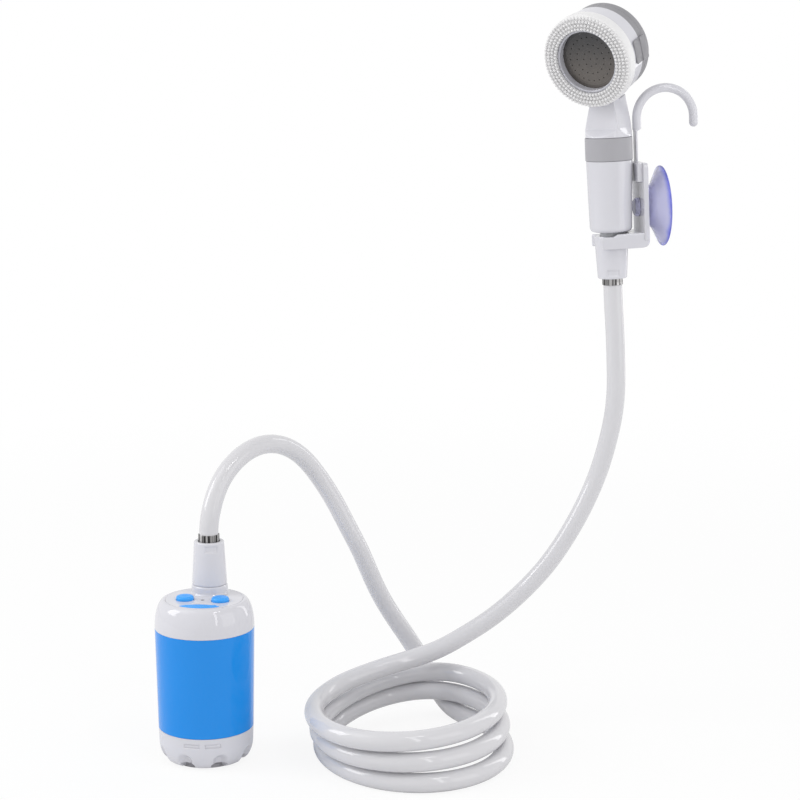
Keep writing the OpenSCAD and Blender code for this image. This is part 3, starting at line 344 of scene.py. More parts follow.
# cubic spline through points, clamped to the directions at its ends, sampled evenly
def splineLine(points, first, last, step):
    at = np.concatenate([[0], np.cumsum(np.linalg.norm(np.diff(points, axis=0), axis=1))])
    gap = np.diff(at)
    n = len(points)
    system, right = np.zeros((n, n)), np.zeros((n, 3))
    system[0, 0] = system[-1, -1] = 1
    right[0], right[-1] = first, last
    i = np.arange(1, n - 1)
    system[i, i - 1], system[i, i], system[i, i + 1] = gap[1:], 2 * (gap[:-1] + gap[1:]), gap[:-1]
    slope = np.diff(points, axis=0) / gap[:, None]
    right[1:-1] = 3 * (gap[1:, None] * slope[:-1] + gap[:-1, None] * slope[1:])
    lean = np.linalg.solve(system, right)
    where = np.linspace(0, at[-1], int(at[-1] / step) + 1)
    k = np.clip(np.searchsorted(at, where, side="right") - 1, 0, n - 2)
    t = ((where - at[k]) / gap[k])[:, None]
    g = gap[k][:, None]
    return ((1 + 2 * t) * (1 - t) ** 2 * points[k] + t * (1 - t) ** 2 * g * lean[k]
            + t * t * (3 - 2 * t) * points[k + 1] + t * t * (t - 1) * g * lean[k + 1])


# a round section carried along a line without twist
def tubeGrid(line, radius, sides, side):
    ahead = np.gradient(line, axis=0)
    ahead /= np.linalg.norm(ahead, axis=1)[:, None]
    frames = []
    for direction in ahead:
        side = side - side.dot(direction) * direction
        side = side / np.linalg.norm(side)
        frames.append(side)
    across = np.array(frames)
    up = np.cross(ahead, across)
    angle = np.linspace(0, 2 * np.pi, sides + 1)
    radius = np.broadcast_to(radius, (len(line),))[:, None, None]
    ring = np.cos(angle)[None, :, None] * across[:, None] + np.sin(angle)[None, :, None] * up[:, None]
    return line[:, None] + radius * ring


# hose: a circle carried along the spline, kept off the ground by its radius and closed at both ends
def makeHose(hose):
    coil = coilLine(hose["coil"], hose["radius"], hose["coilPoints"])
    points = np.concatenate([np.array(hose["start"]), np.array(hose["arch"]), coil, np.array(hose["rise"])])
    lean = np.radians(stand["lean"])
    last = np.array([-np.sin(lean), 0, np.cos(lean)])
    line = splineLine(points, np.array([0, 0, 1]), last, hose["step"]) / 1000
    line[:, 2] = np.maximum(line[:, 2], hose["radius"] / 1000)
    skin = tubeGrid(line, hose["radius"] / 1000, hose["sides"], np.array([0.0, 1, 0]))
    closed = [np.stack([np.repeat(line[k][None], hose["sides"] + 1, 0), skin[k]]) for k in (0, -1)]
    piece = makeSurface("hose", skin, *closed)
    length = float(np.linalg.norm(np.diff(line, axis=0), axis=1).sum())
    return piece, line, length


hosePiece, hoseLine, hoseLength = makeHose(hose)
register(hosePiece, "hose_arch", "hose_coil", "hose_rise")
print("hose laid:", round(hoseLength, 3), "m")


# a turned piece for one node, from its line of corners (radius, height, rounding)
def addTurned(name, node, where, corners, sides, closed=True, steps=6):
    addPiece(name, [node], where, turned(rounded(corners, closed, steps), sides))


# pump casing: sleeve and upper shell; heights and radii in millimetres
casing = {"foot": 34.6, "top": 36, "low": 25, "high": 99, "wall": 1.8, "edge": 0.35, "innerEdge": 0.2, "seam": 0.06,
          "lip": 1, "crown": 120, "rim": 29, "rows": 24, "sides": 128,
          "inside": [(28.1, 120, 0.3), (28.1, 116.4), (23.6, 116.4), (23.6, 113), (31.4, 111), (31.6, 92.9, 0.3),
                     (33.5, 92.9, 0.3), (33.7, 98.9), (35.2, 98.9)]}


# shoulder: a quarter of an ellipse from the casing's side to its crown
def makeCasing(c):
    low, high = c["low"] + c["seam"], c["high"] - c["seam"]
    sleeve = [(c["foot"], low, c["edge"]), (c["top"], high, c["edge"]),
              (c["top"] - c["wall"], high, c["innerEdge"]), (c["foot"] - c["wall"], low, c["innerEdge"])]
    addTurned("sleeve", "sleeve", plainFrame, sleeve, c["sides"])
    t = np.linspace(0, np.pi / 2, c["rows"] + 1)[:-1]
    lip = c["high"] + c["lip"]
    dome = np.stack([c["rim"] + (c["top"] - c["rim"]) * np.cos(t), lip + (c["crown"] - lip) * np.sin(t)], 1)
    inside = rounded([tuple(dome[-1]), *c["inside"]])
    foot = rounded([c["inside"][-1], (c["top"], c["high"] + c["seam"], c["edge"]), tuple(dome[0])])
    profile = np.concatenate([foot, dome[1:], inside[1:]])
    addPiece("topShell", ["top_shell"], plainFrame, turned(profile, c["sides"]))


makeCasing(casing)

# lower shell: a round flank with eight arched inlets and four latch windows pressed into it
base = {"radius": 26.5, "lift": 1.2, "flank": 16, "top": 25, "foot": 34.6, "draw": 0.4, "heel": 0.4, "seam": 0.06,
        "edge": 0.35, "innerEdge": 0.2, "spigot": (32.5, 31), "rows": 40, "step": 0.28, "columns": 864,
        "inner": [(32.4, 24.8), (30.4, 24.8), (24.4, 9), (24.4, 1.6)],
        "notches": 8, "notchRadius": 29.5, "notchWide": 5.8, "notchHigh": 7.5, "notchBack": 23, "lip": (3.8, 5.0),
        "scoop": 3.6, "scoopEdge": (-0.1, 4.2), "openEdge": (-0.1, 1.0),
        "window": (11.6, 3.0), "windowHigh": 19.5, "windowAngles": (-103, -77, 77, 103), "windowDepth": 0.75,
        "windowEdge": (-0.12, 0.22), "pad": 0.35, "padEdge": (0.5, 0.75)}


# dent: how far a point lies under the flank: shallow scoops that open at the foot, and the windows
def baseDent(angle, height, radius, b=base):
    pitch = 2 * np.pi / b["notches"]
    off = (np.mod(angle, pitch) - pitch / 2) * b["notchRadius"]
    above = np.maximum(height - b["notchHigh"], 0)
    inside = b["notchWide"] - np.hypot(off, above)
    scoop = b["scoop"] * ease(inside, *b["scoopEdge"])
    opened = (radius - b["notchBack"]) * ease(inside, *b["openEdge"])
    depth = scoop + np.maximum(opened - scoop, 0) * (1 - ease(height, *b["lip"]))
    wide, tall = b["window"]
    for turn in np.radians(b["windowAngles"]):
        away = turnFrom(angle, turn) * b["foot"]
        edge = np.minimum(wide / 2 - np.abs(away), tall / 2 - np.abs(height - b["windowHigh"]))
        depth = depth + b["windowDepth"] * ease(edge, *b["windowEdge"]) - b["pad"] * ease(edge, *b["padEdge"])
    return depth


# flank: a quarter of an ellipse from the foot to the shell's side
def makeBase(b):
    t = np.linspace(-np.pi / 2, 0, b["rows"])
    wide, top = b["foot"] - b["draw"] - b["radius"], b["top"] - b["seam"]
    flank = np.stack([b["radius"] + wide * np.cos(t), b["flank"] + (b["flank"] - b["lift"]) * np.sin(t)], 1)
    upper = rounded([tuple(flank[-1]), (b["foot"], top, b["edge"]), (b["spigot"][0], top, b["innerEdge"]), b["spigot"]])
    skin = refined(np.concatenate([flank, upper[1:-1]]), b["step"])
    hole = b["inner"][-1]
    bottom = rounded([hole, (hole[0], b["lift"], b["innerEdge"]),
                      (b["radius"] - b["heel"], b["lift"], b["innerEdge"]), tuple(flank[0])])
    shell = turned(np.concatenate([bottom[:-1], skin]), b["columns"], baseDent)
    inside = turned(np.concatenate([skin[-1:], np.array(b["inner"])]), b["columns"], baseDent)
    addPiece("baseShell", ["base_shell"], plainFrame, shell, inside)


makeBase(base)
print("casing built")

# control panel, buttons, port cover and indicator on the crown
panel = {"edge": 0.2}
bevelled("control_panel", panel["edge"])
# ring: radius, first angle, sweep; stroke: foot, length; drop: width, power, middle, height
button = {"radius": 6.4, "side": 13, "front": 4.8, "top": 123, "foot": 114.7, "flange": 0.9, "flangeHigh": 1.6,
          "draft": 0.05, "edge": 1.7, "flat": 2.4, "dome": 0.25, "sides": 64, "mark": 0.17, "markSink": 0.03,
          "markSides": 6, "ring": (1.9, 120, 300), "stroke": (0.7, 2.0), "drop": (1.7, 1.4, -0.3, 2.1),
          "strokeRows": 41, "dropRows": 49}


# signs: an open ring with a stroke, and a drop, the sine of an angle times a power of the half angle's sine
def makeButtons(b):
    wide, step = b["radius"] + b["flange"], b["foot"] + b["flangeHigh"]
    profile = rounded([(0, b["foot"]), (wide, b["foot"], 0.2), (wide, step, 0.2), (b["radius"], step, 0.15),
                       (b["radius"] - b["draft"], b["top"] - b["dome"], b["edge"]), (b["flat"], b["top"], 3),
                       (0, b["top"])])
    t = np.linspace(0, 1, b["strokeRows"])
    reach, first, sweep = b["ring"]
    turn = np.radians(first + sweep * t)
    ring = np.stack([reach * np.cos(turn), reach * np.sin(turn), 0 * t], 1)
    low, long = b["stroke"]
    stroke = np.stack([0 * t, low + long * t, 0 * t], 1)
    broad, power, middle, tall = b["drop"]
    loop = 2 * np.pi * np.linspace(0, 1, b["dropRows"])
    drop = np.stack([broad * np.sin(loop) * np.sin(loop / 2) ** power, middle + tall * np.cos(loop), 0 * loop], 1)
    up, lift = np.array([0, 0, 1.0]), (0, 0, b["top"] - b["markSink"])
    for name, side, marks in (("power_button", -1, (ring, stroke)), ("mode_button", 1, (drop,))):
        where = pumpFrame @ shift(side * b["side"], -b["front"], 0)
        lines = [tubeGrid(mark + lift, ends(len(mark)) * b["mark"], b["markSides"], up) for mark in marks]
        addPiece(name + "Cap", [name], where, turned(profile, b["sides"]), *lines)


makeButtons(button)
# bead: length and radius; beadAt: its middle, aside and in front of the lens's back edge
cover = {"front": 25.8, "back": 17, "round": 26.4, "turn": 4, "low": 118.7, "high": 120.35, "edge": 0.5,
         "innerEdge": 0.2, "inset": 2.0, "columns": 40, "bead": (5, 0.4), "beadAt": (9.5, 2.6), "beadSlope": 0.12,
         "beadSink": 0.15, "beadRows": (-1, -0.996, 0, 0.996, 1), "beadSides": 10}


# lens: the part that two circles share, drawn inwards towards its upper edge
def lensOutline(c, inset):
    front, rear, apart = c["front"] - inset, c["round"] - inset, c["back"] + c["round"]
    low = (apart ** 2 + front ** 2 - rear ** 2) / (2 * apart)
    half = np.sqrt(front ** 2 - low ** 2)
    reach, span = np.arctan2(half, low), np.arctan2(half, apart - low)
    a, b = np.linspace(-reach, reach, c["columns"]), np.linspace(span, -span, c["columns"])
    near = np.stack([front * np.sin(a), -front * np.cos(a)], 1)
    far = np.stack([rear * np.sin(b), rear * np.cos(b) - apart], 1)
    return np.concatenate([near, far])


# cover: lens outlines stacked over a rounded edge and closed at their middle, with a short tube as its bead
def makeCover(c):
    rows = rounded([(c["inset"], c["low"]), (0, c["low"], c["innerEdge"]), (0, c["high"], c["edge"]),
                    (c["inset"], c["high"])])
    outline = np.stack([lensOutline(c, inset) for inset in rows[:, 0]])
    skin = np.concatenate([outline, 0 * outline[..., :1]], -1)
    skin[..., 2] = rows[:, 1][:, None]
    middle = np.broadcast_to(np.array([0, -(c["front"] + c["back"]) / 2, 0]), (1, skin.shape[1], 3))
    lens = np.concatenate([middle + (0, 0, c["low"]), skin, middle + (0, 0, c["high"])])
    lens = np.concatenate([lens, lens[:, :1]], 1)
    long, thick = c["bead"]
    aside, before = c["beadAt"]
    x = long / 2 * np.array(c["beadRows"])
    line = np.stack([aside + x, c["beadSlope"] * x - c["back"] - before, 0 * x + c["high"] - c["beadSink"]], 1)
    bead = tubeGrid(line, ends(len(x)) * thick, c["beadSides"], np.array([0, 0, 1.0]))
    addPiece("portCover", ["port_cover"], pumpFrame @ spin("Z", c["turn"]), lens, bead)


makeCover(cover)
guide = {"front": 4.8, "sides": 32, "profile": [(0, 112), (1.3, 112), (1.3, 120.15, 0.4), (0, 120.2)]}
addTurned("indicator", "light_guide", pumpFrame @ shift(0, -guide["front"], 0), guide["profile"], guide["sides"],
          closed=False)

# outlet spigot and the collar that is seen below the nut
collar = {"sides": 96,
          "profile": [(3, 112.7, 0.2), (6.5, 112.7, 0.2), (6.5, 119.95), (14.3, 119.95, 0.1), (13.4, 121.2, 1.4),
                      (13.1, 125.4, 0.7), (12.5, 126.35, 0.3), (8.4, 126.35, 0.2), (8.4, 140, 0.3), (3, 140, 0.3)]}
addTurned("outletCollar", "outlet_spigot", spoutFrame, collar["profile"], collar["sides"])
print("panel built")

# hose nuts: cones with a flat mark near the narrow end; ferrules with a fine upright knurl
fitting = {"high": 32, "wide": 12.7, "narrow": 10.9, "bore": 8.6, "neck": 8.1, "step": 19, "chamfer": (0.25, 1.0),
           "sides": 256, "row": 0.5, "turns": {"pump": -77, "handset": -92}, "markHigh": (25.2, 29.8), "markWide": 4.7,
           "markDepth": 0.55, "markEdge": (-0.1, 0.5), "markWall": 1,
           "ferrule": (28.5, 37), "ferruleRadius": 7.7, "hoseBore": 7.1, "ferruleSides": 352, "ferruleRow": 0.7,
           "ridges": 44, "ridge": 0.2, "ridgeBeat": 0.4, "ridgeFoot": (0.1, 0.7), "ridgeHead": (1.4, 0.8),
           "ridgeWall": 0.2}


# nut and ferrule: closed profiles turned about the hose's axis, less their marks
def makeFittings(f):
    inset, rise = f["chamfer"]
    profile = rounded([(f["bore"], 0, 0.2), (f["wide"] - inset, 0, 0.35), (f["wide"], rise, 0.6),
                       (f["narrow"], f["high"], 1.0), (f["neck"], f["high"], 0.3), (f["neck"], f["step"], 0.2),
                       (f["bore"], f["step"], 0.2)], closed=True)
    low, high = f["ferrule"]
    band = rounded([(f["hoseBore"], low, 0.1), (f["ferruleRadius"], low, 0.15), (f["ferruleRadius"], high, 0.3),
                    (f["hoseBore"], high, 0.15)], closed=True)
    (footLow, footHigh), (headLow, headHigh) = f["ridgeFoot"], f["ridgeHead"]

    # knurl: a cosine round the ferrule times a slower beat, so that each ridge has its own depth
    def knurl(angle, height, radius):
        beat = 1 - f["ridgeBeat"] + f["ridgeBeat"] * np.cos(5 * angle + 1) * np.cos(3 * angle)
        edge = ease(height, low + footLow, low + footHigh) * (1 - ease(height, high - headLow, high - headHigh))
        depth = f["ridge"] * beat * (0.5 + 0.5 * np.cos(f["ridges"] * angle)) * edge
        return np.where(radius > f["hoseBore"] + f["ridgeWall"], depth, 0)

    ferrules = []
    for name, where in (("pump", outletFrame), ("handset", fittingFrame)):
        # mark: a shallow field whose depth rises with the distance from its edge
        def mark(angle, height, radius, turn=math.radians(f["turns"][name])):
            off = turnFrom(angle, turn) * f["narrow"]
            foot, head = f["markHigh"]
            inside = np.minimum(f["markWide"] - np.abs(off), np.minimum(height - foot, head - height))
            return np.where(radius > f["narrow"] - f["markWall"], f["markDepth"] * ease(inside, *f["markEdge"]), 0)

        nut = turned(refined(profile, f["row"]), f["sides"], mark)
        addPiece(name + "Nut", [name + "_nut"], where, nut)
        ferrule = turned(refined(band, f["ferruleRow"]), f["ferruleSides"], knurl)
        ferrules.append(addPiece(name + "Ferrule", [name + "_ferrule"], where, ferrule))
    return ferrules


ferrules = makeFittings(fitting)
2 * hose["radius"] / 1000

# handle and its grey band
handle = {"foot": 375.5, "high": 428.4, "footRadius": 15.6, "radius": 17.3, "wall": 2.4, "bore": 8.6, "flare": 0.1,
          "well": (3, 5), "band": (428.6, 445.4), "bandRadius": 17.6, "bandBore": 14.8, "sides": 96}


# shell and band: closed profiles turned about the handset's axis
def makeHandle(h):
    inset, rise = h["well"]
    floor = h["foot"] + h["wall"]
    shell = [(h["bore"], h["foot"], 0.3), (h["footRadius"] + h["flare"], h["foot"], 3.2), (h["radius"], h["high"], 0.3),
             (h["radius"] - h["wall"], h["high"], 0.2), (h["footRadius"] - h["wall"], h["foot"] + rise, 2),
             (h["footRadius"] - inset, floor, 0.5), (h["bore"], floor, 0.3)]
    addTurned("handleShell", "handle_shell", handsetFrame, shell, h["sides"])
    low, high = h["band"]
    ring = [(h["bandBore"], low, 0.2), (h["bandRadius"], low, 0.4), (h["bandRadius"], high, 0.4),
            (h["bandBore"], high, 0.2)]
    addTurned("handleBand", "handle_band", handsetFrame, ring, h["sides"])


makeHandle(handle)

# neck: a round foot, a crisp shoulder in front and back, softer at the sides, then flat faces that narrow up to
# the head; a face is its direction, heights and distances; its top is inside the cup, and clear of the tab behind
neck = {"foot": 445.5, "radius": 17.3, "sharp": 56, "rows": 56, "columns": 240, "shoulder": (0.22, 26), "start": 0.1,
        "draw": 0.25, "guess": 478.0, "tries": 6, "cupFrom": 8.5, "under": (-29.0, -36.4),
        "faces": [(-90, (445.5, 446.4, 451.6, 452.2, 487.5), (21, 17.7, 10.7, 10.2, 7.5)),
                  (90, (445.5, 446.4, 451.6, 452.2, 487.5), (21, 17.7, 11.6, 11.3, 11.3)),
                  (0, (445.5, 446.4, 448, 450, 452.5, 456, 487.5), (21, 17.7, 16.3, 15, 14, 13.2, 6.8)),
                  (180, (445.5, 446.4, 448, 450, 452.5, 456, 487.5), (21, 17.7, 16.3, 15, 14, 13.2, 6.8))]}


# section: the radius at an angle whose inverse power is the sum of the inverse powers of the faces' distances
def neckRadius(n, angle, height):
    total = n["radius"] ** -n["sharp"] + 0 * angle
    for turn, heights, reach in n["faces"]:
        near = np.maximum(np.cos(angle - np.radians(turn)), 1e-3)
        total = total + (near / np.interp(height, heights, reach)) ** n["sharp"]
    return total ** (-1 / n["sharp"])


# top: where the section meets the tilted head, found by a few rounds from a guess
def makeNeck(n):
    angle = np.linspace(0, 2 * np.pi, n["columns"] + 1)[None]
    tilt, middle = np.radians(stand["headTilt"]), stand["headHigh"]
    top = np.full_like(angle, n["guess"])
    for _ in range(n["tries"]):
        back = neckRadius(n, angle, top) * np.sin(angle)
        forward = -np.cos(tilt) * back - np.sin(tilt) * (top - middle)
        under = np.where(forward > n["cupFrom"], *n["under"])
        top = middle + (under + np.sin(tilt) * back) / np.cos(tilt)
    bend, dense = n["shoulder"]
    share = np.concatenate([np.linspace(0, bend, dense)[:-1], np.linspace(bend, 1, n["rows"] - dense)])[:, None]
    foot = n["foot"] + n["start"]
    height = foot + share * (top - foot)
    radius = neckRadius(n, angle + 0 * height, height)
    radius[0] -= n["draw"]
    skin = np.stack([radius * np.cos(angle), radius * np.sin(angle), height], -1)
    caps = [np.stack([0 * skin[k] + skin[k].mean(0), skin[k]]) for k in (0, -1)]
    addPiece("neckShell", ["neck_shell"], handsetFrame, skin, *caps)


makeNeck(neck)
print("handle built")

# head: cup, selector ring with its thumb tab, back cap and clear bezel
head = {"radius": 33.6, "hub": 28, "back": 1, "rear": 7.35, "face": 21.95, "hubBore": 25.6, "bore": 31.2, "pin": 4.2,
        "floor": (7.4, 9.8), "selector": 33, "selectorBore": 28.1, "selectorHigh": (1.06, 7), "sides": 128,
        "tabTurn": 2, "tabLong": 18.5, "tabOuter": 35.9, "tabEdge": 0.5,
        "tabRear": {"along": (1.4, 10.2), "from": 31.5, "drop": 0, "corner": 1.6},
        "tabFront": {"along": (9, 18.8), "from": 33.95, "drop": 0.9, "corner": 2.4},
        "cap": (0.98, -6.6, -7), "capEdge": 4.0, "bezel": (25.05, 30.6), "bezelRadius": 24, "bezelWall": 1.8}


# profiles turned about the head's axis; tab: a thicker rear strip and a lower thumb face, slabs bent round the head
def makeHead(h):
    under, floor = h["floor"]
    cup = [(h["hubBore"], h["back"], 0.3), (h["hub"], h["back"], 0.3), (h["hub"], h["rear"]),
           (h["radius"], h["rear"], 0.7), (h["radius"], h["face"], 0.4), (h["bore"], h["face"], 0.3),
           (h["bore"], floor, 0.5), (h["pin"], floor, 0.3), (h["pin"], under, 0.3), (h["hubBore"], under, 0.5)]
    addTurned("headHousing", "head_housing", headFrame, cup, h["sides"])
    low, high = h["selectorHigh"]
    ring = rounded([(h["selectorBore"], low, 0.2), (h["selector"], low, 0.12), (h["selector"], high, 0.5),
                    (h["selectorBore"], high, 0.2)], closed=True)
    tab = []
    for part in (h["tabRear"], h["tabFront"]):
        low, high = part["along"]
        shape = slab(h["tabLong"], high - low, part["from"], h["tabOuter"] - part["drop"], part["corner"], h["tabEdge"])
        turn = np.radians(h["tabTurn"]) + shape[..., 0] / h["tabOuter"]
        along = (low + high) / 2 + shape[..., 1]
        tab.append(np.stack([shape[..., 2] * np.cos(turn), shape[..., 2] * np.sin(turn), along], -1))
    addPiece("selectorRing", ["selector_ring"], headFrame, turned(ring, h["sides"]), *tab)
    front, edge, rear = h["cap"]
    cap = [(0, front), (h["selector"], front, 0.12), (h["selector"], edge, h["capEdge"]), (0, rear)]
    addTurned("backCap", "back_cap", headFrame, cap, h["sides"], closed=False, steps=10)
    low, high = h["bezel"]
    inner = h["bezelRadius"] - h["bezelWall"]
    bezel = [(inner, low, 0.15), (h["bezelRadius"], low, 0.15), (h["bezelRadius"], high, 0.6), (inner, high, 0.6)]
    addTurned("faceBezel", "face_bezel", headFrame, bezel, h["sides"])


makeHead(head)

# brush ring: a soft ring whose front carries four rows of round nubs, all at one pitch
brush = {"body": [(24.2, 22, 0.3), (35, 22, 0.6), (35, 30, 2.2), (33.4, 31.5, 1.2), (24.2, 31.5, 1.5)], "face": 31.5,
         "bodySides": 160, "counts": (60, 65, 71, 76), "first": 24.95, "last": 33.2, "lastDrop": 0.55, "wide": 1.22,
         "deep": 1.26, "high": 2.2, "root": 1.0, "sink": 0.15, "powers": (0.7, 1.1), "sides": 8, "steps": 6}


# nub: a dome with a broad foot and a pointed root, a quarter of a superellipse turned about its axis
def makeBrush(b):
    rise = np.linspace(0, np.pi / 2, b["steps"])[:, None]
    angle = np.linspace(0, 2 * np.pi, b["sides"] + 1)[None]
    across, up = b["powers"]
    spread = np.concatenate([[[0]], np.cos(rise) ** across])
    height = np.concatenate([[[-b["root"]]], b["high"] * np.sin(rise) ** up - b["sink"]])
    dome = np.stack([b["deep"] * spread * np.cos(angle), b["wide"] * spread * np.sin(angle), height + 0 * angle], -1)
    grids = []
    rows = len(b["counts"])
    for row, count in enumerate(b["counts"]):
        reach = b["first"] + (b["last"] - b["first"]) * row / (rows - 1)
        turn = 2 * np.pi * (np.arange(count) + 0.5) / count
        level = b["face"] - (b["lastDrop"] if row == rows - 1 else 0)
        x, y = dome[..., 0][None] + reach, dome[..., 1][None]
        c, s = np.cos(turn)[:, None, None], np.sin(turn)[:, None, None]
        grids.append(np.stack([x * c - y * s, x * s + y * c, level + dome[..., 2][None] + 0 * x * c], -1))
    body = turned(rounded(b["body"], closed=True), b["bodySides"])
    addPiece("brushRing", ["brush_ring"], headFrame, body, *np.concatenate(grids))


makeBrush(brush)
print("head built")

# holder: a square fork round the nut whose arms run back to a wide plate, and a clip for the hook
holder = {"fork": (363.5, 374.5), "inner": (12.5, 13.1), "outer": 16.6, "ends": (26.2, 11.9), "half": 16.5,
          "square": 12, "corner": 4.5, "mouth": 50.4, "tip": 0.09, "tipFrom": 0.1, "tipRows": 7, "tipShrink": 0.28,
          "step": 2, "stepAt": (-2.7, 2.5), "edge": 0.9, "row": 1.0, "columns": 240,
          "plate": (21.6, 25.2), "plateWide": 35, "plateHigh": (367.5, 426), "plateEdges": (3.5, 0.6),
          "clip": (17.7, 412, 426), "clipWide": 28.6, "clipEdges": (1.0, 0.9), "clipSink": 0.6,
          "slot": (19.2, 4.3), "bridgeLap": 2, "bridgeGap": 0.05, "bridgeEdges": (0.8, 0.4)}


# fork: a section carried round the nut and drawn out to a square with rounded corners, a superellipse; its far
# foot is round, and its tips shrink as a quarter of a circle does
def makeFork(h):
    low, high = h["fork"]
    inLow, inHigh = h["inner"]
    edge = h["edge"]
    corners = [(inLow, low, edge), (h["outer"], low, edge), (h["outer"], high, edge), (inHigh, high, edge)]
    section = refined(rounded(corners, closed=True, steps=5), h["row"])
    middle = np.array([(inLow + h["outer"]) / 2, (low + high) / 2])
    last = np.pi - np.radians(h["mouth"])
    close = h["tip"] * np.sin(np.linspace(0, np.pi / 2, h["tipRows"]))
    arm = np.linspace(h["tipFrom"] - last, last - h["tipFrom"], h["columns"])
    turn = np.concatenate([h["tip"] - last - close[::-1], arm, last - h["tip"] + close])
    past = ((np.abs(turn) - last + h["tip"]) / h["tip"]).clip(0, 1)
    full = 1 - h["tipShrink"] * (1 - np.sqrt(1 - past ** 2))
    points = middle + (section - middle)[None] * full[:, None, None]
    radius, height = points[..., 0], points[..., 1]
    ahead, aside = np.cos(turn)[:, None], np.sin(turn)[:, None]
    below = (h["corner"] - (height - low)).clip(0, h["corner"])
    end = h["ends"][0] - h["corner"] + np.sqrt(h["corner"] ** 2 - below ** 2)
    end = np.where(ahead > 0, end, h["ends"][1])
    reach = ((np.abs(ahead) / end) ** h["square"] + (np.abs(aside) / h["half"]) ** h["square"]) ** (-1 / h["square"])
    radius = radius + (reach - h["outer"]) * ((radius - inHigh) / (h["outer"] - edge - inHigh)).clip(0, 1)
    x = radius * ahead
    top = h["step"] * (1 - ease(x, *h["stepAt"]))
    height = low + (height - low) * (1 - top / (high - low))
    ring = np.stack([x, radius * aside, height], -1)
    return [ring, *[np.stack([0 * ring[k] + ring[k][:-1].mean(0), ring[k]]) for k in (0, -1)]]


# plate, the clip's two blocks and the bridge over its slot: slabs set on edge behind the fork
def makeHolder(h):
    near, far = h["plate"]
    foot, head = h["plateHigh"]
    plate = slab(h["plateWide"], head - foot, near, far, *h["plateEdges"])[..., [2, 0, 1]] + (0, 0, (head + foot) / 2)
    clipNear, clipLow, clipHigh = h["clip"]
    tall, centre = clipHigh - clipLow, (clipHigh + clipLow) / 2
    wall, slot = h["slot"]
    gap, sink = h["bridgeGap"], h["clipSink"]
    front = slab(2 * (slot + h["bridgeLap"]), tall - 2 * gap, clipNear + gap, wall, *h["bridgeEdges"])
    front = front[..., [2, 0, 1]] + (0, 0, centre)
    wide = h["clipWide"] / 2 - slot
    block = slab(near - clipNear + sink, tall, -wide / 2, wide / 2, *h["clipEdges"])
    block = block[..., [0, 2, 1]] + ((near + clipNear + sink) / 2, 0, centre)
    blocks = [block + (0, side * (slot + wide / 2), 0) for side in (-1, 1)]
    addPiece("holderBracket", ["holder_bracket"], holderFrame, *makeFork(h), plate, front, *blocks)


makeHolder(holder)

# hook: a flat stem that turns into a round rod, bent over to a round tip; rows as (from, to, count)
hook = {"x": 21.7, "foot": 410.5, "stem": 453, "bend": 458, "reach": 21.7, "tip": 453, "stemHalf": (0.9, 4.0),
        "rod": 3.3, "offset": 1.3, "stemPower": 5, "footRise": (0, 0.01, 0.15, 0.5), "footShare": (0, 0.9, 0.97, 1),
        "stemRows": (1.5, -5, 10), "turnRows": (-4.6, 1, 16), "turnAt": (-4.4, -2.2), "lead": 2, "bendRows": 41,
        "tipRows": 8, "straight": 8, "sides": 32}


# section: a superellipse whose half widths and power change along the middle line
def makeHook(h):
    first, last, count = h["stemRows"]
    stem = np.linspace(h["foot"] + first, h["stem"] + last, count)
    first, last, count = h["turnRows"]
    change = np.linspace(h["stem"] + first, h["stem"] + last, count)
    rise = np.concatenate([h["foot"] + np.array(h["footRise"]), stem, change, [h["bend"] - h["lead"]]])
    turn = np.linspace(0, np.pi, h["bendRows"])
    straight = np.stack([h["x"] + 0 * rise, rise], 1)
    bend = np.stack([h["x"] + h["reach"] * (1 - np.cos(turn)), h["bend"] + h["reach"] * np.sin(turn)], 1)
    close = np.linspace(0, np.pi / 2, h["tipRows"])[1:]
    drop = np.concatenate([np.linspace(h["bend"] - h["lead"], h["tip"], 4), h["tip"] - h["rod"] * np.sin(close)])
    tip = np.stack([h["x"] + 2 * h["reach"] + 0 * drop, drop], 1)
    line = np.concatenate([straight, bend, tip])
    ahead = np.gradient(line, axis=0)
    ahead[-h["straight"]:] = (0, -1)
    ahead[:h["straight"]] = (0, 1)
    ahead /= np.linalg.norm(ahead, axis=1)[:, None]
    low, high = h["turnAt"]
    rodShare = np.concatenate([ease(rise, h["stem"] + low, h["stem"] + high), np.ones(len(bend) + len(tip))])
    thin, wide = h["stemHalf"]
    scale = np.ones(len(line))
    scale[:len(h["footShare"])] = h["footShare"]
    scale[-len(close):] = np.cos(close)
    half = (thin + (h["rod"] - thin) * rodShare) * scale
    broad = (wide + (h["rod"] - wide) * rodShare) * scale
    power = 2 / (h["stemPower"] + (2 - h["stemPower"]) * rodShare)
    side = (1 - rodShare) * h["offset"]
    angle = np.linspace(0, 2 * np.pi, h["sides"] + 1)[None]
    across = np.sign(np.cos(angle)) * np.abs(np.cos(angle)) ** power[:, None] * half[:, None] - side[:, None]
    along = np.sign(np.sin(angle)) * np.abs(np.sin(angle)) ** power[:, None] * broad[:, None]
    skin = np.stack([line[:, :1] + ahead[:, 1:] * across, along, line[:, 1:] - ahead[:, :1] * across], -1)
    addPiece("hookRod", ["hook"], holderFrame, skin)


makeHook(hook)

# suction cup: knob, stud and a thin bell that flares to a sharp rim
cup = {"sides": 128,
       "profile": [(0, 17.9), (6.0, 17.9, 0.9), (7.0, 19.2, 1.0), (7.0, 21.3, 0.3), (4.0, 21.3, 0.2), (4.0, 25.5, 0.2),
                   (10.6, 25.5, 1.2), (17.8, 32.3, 14), (29.9, 38.5, 0.5), (30, 39.4, 0.5), (28.6, 39.4, 0.6),
                   (17.6, 34.9, 12), (11, 30.2, 3), (0, 30)]}
addTurned("suctionCup", "suction_cup", cupFrame, cup["profile"], cup["sides"], closed=False, steps=10)
print("holder built")

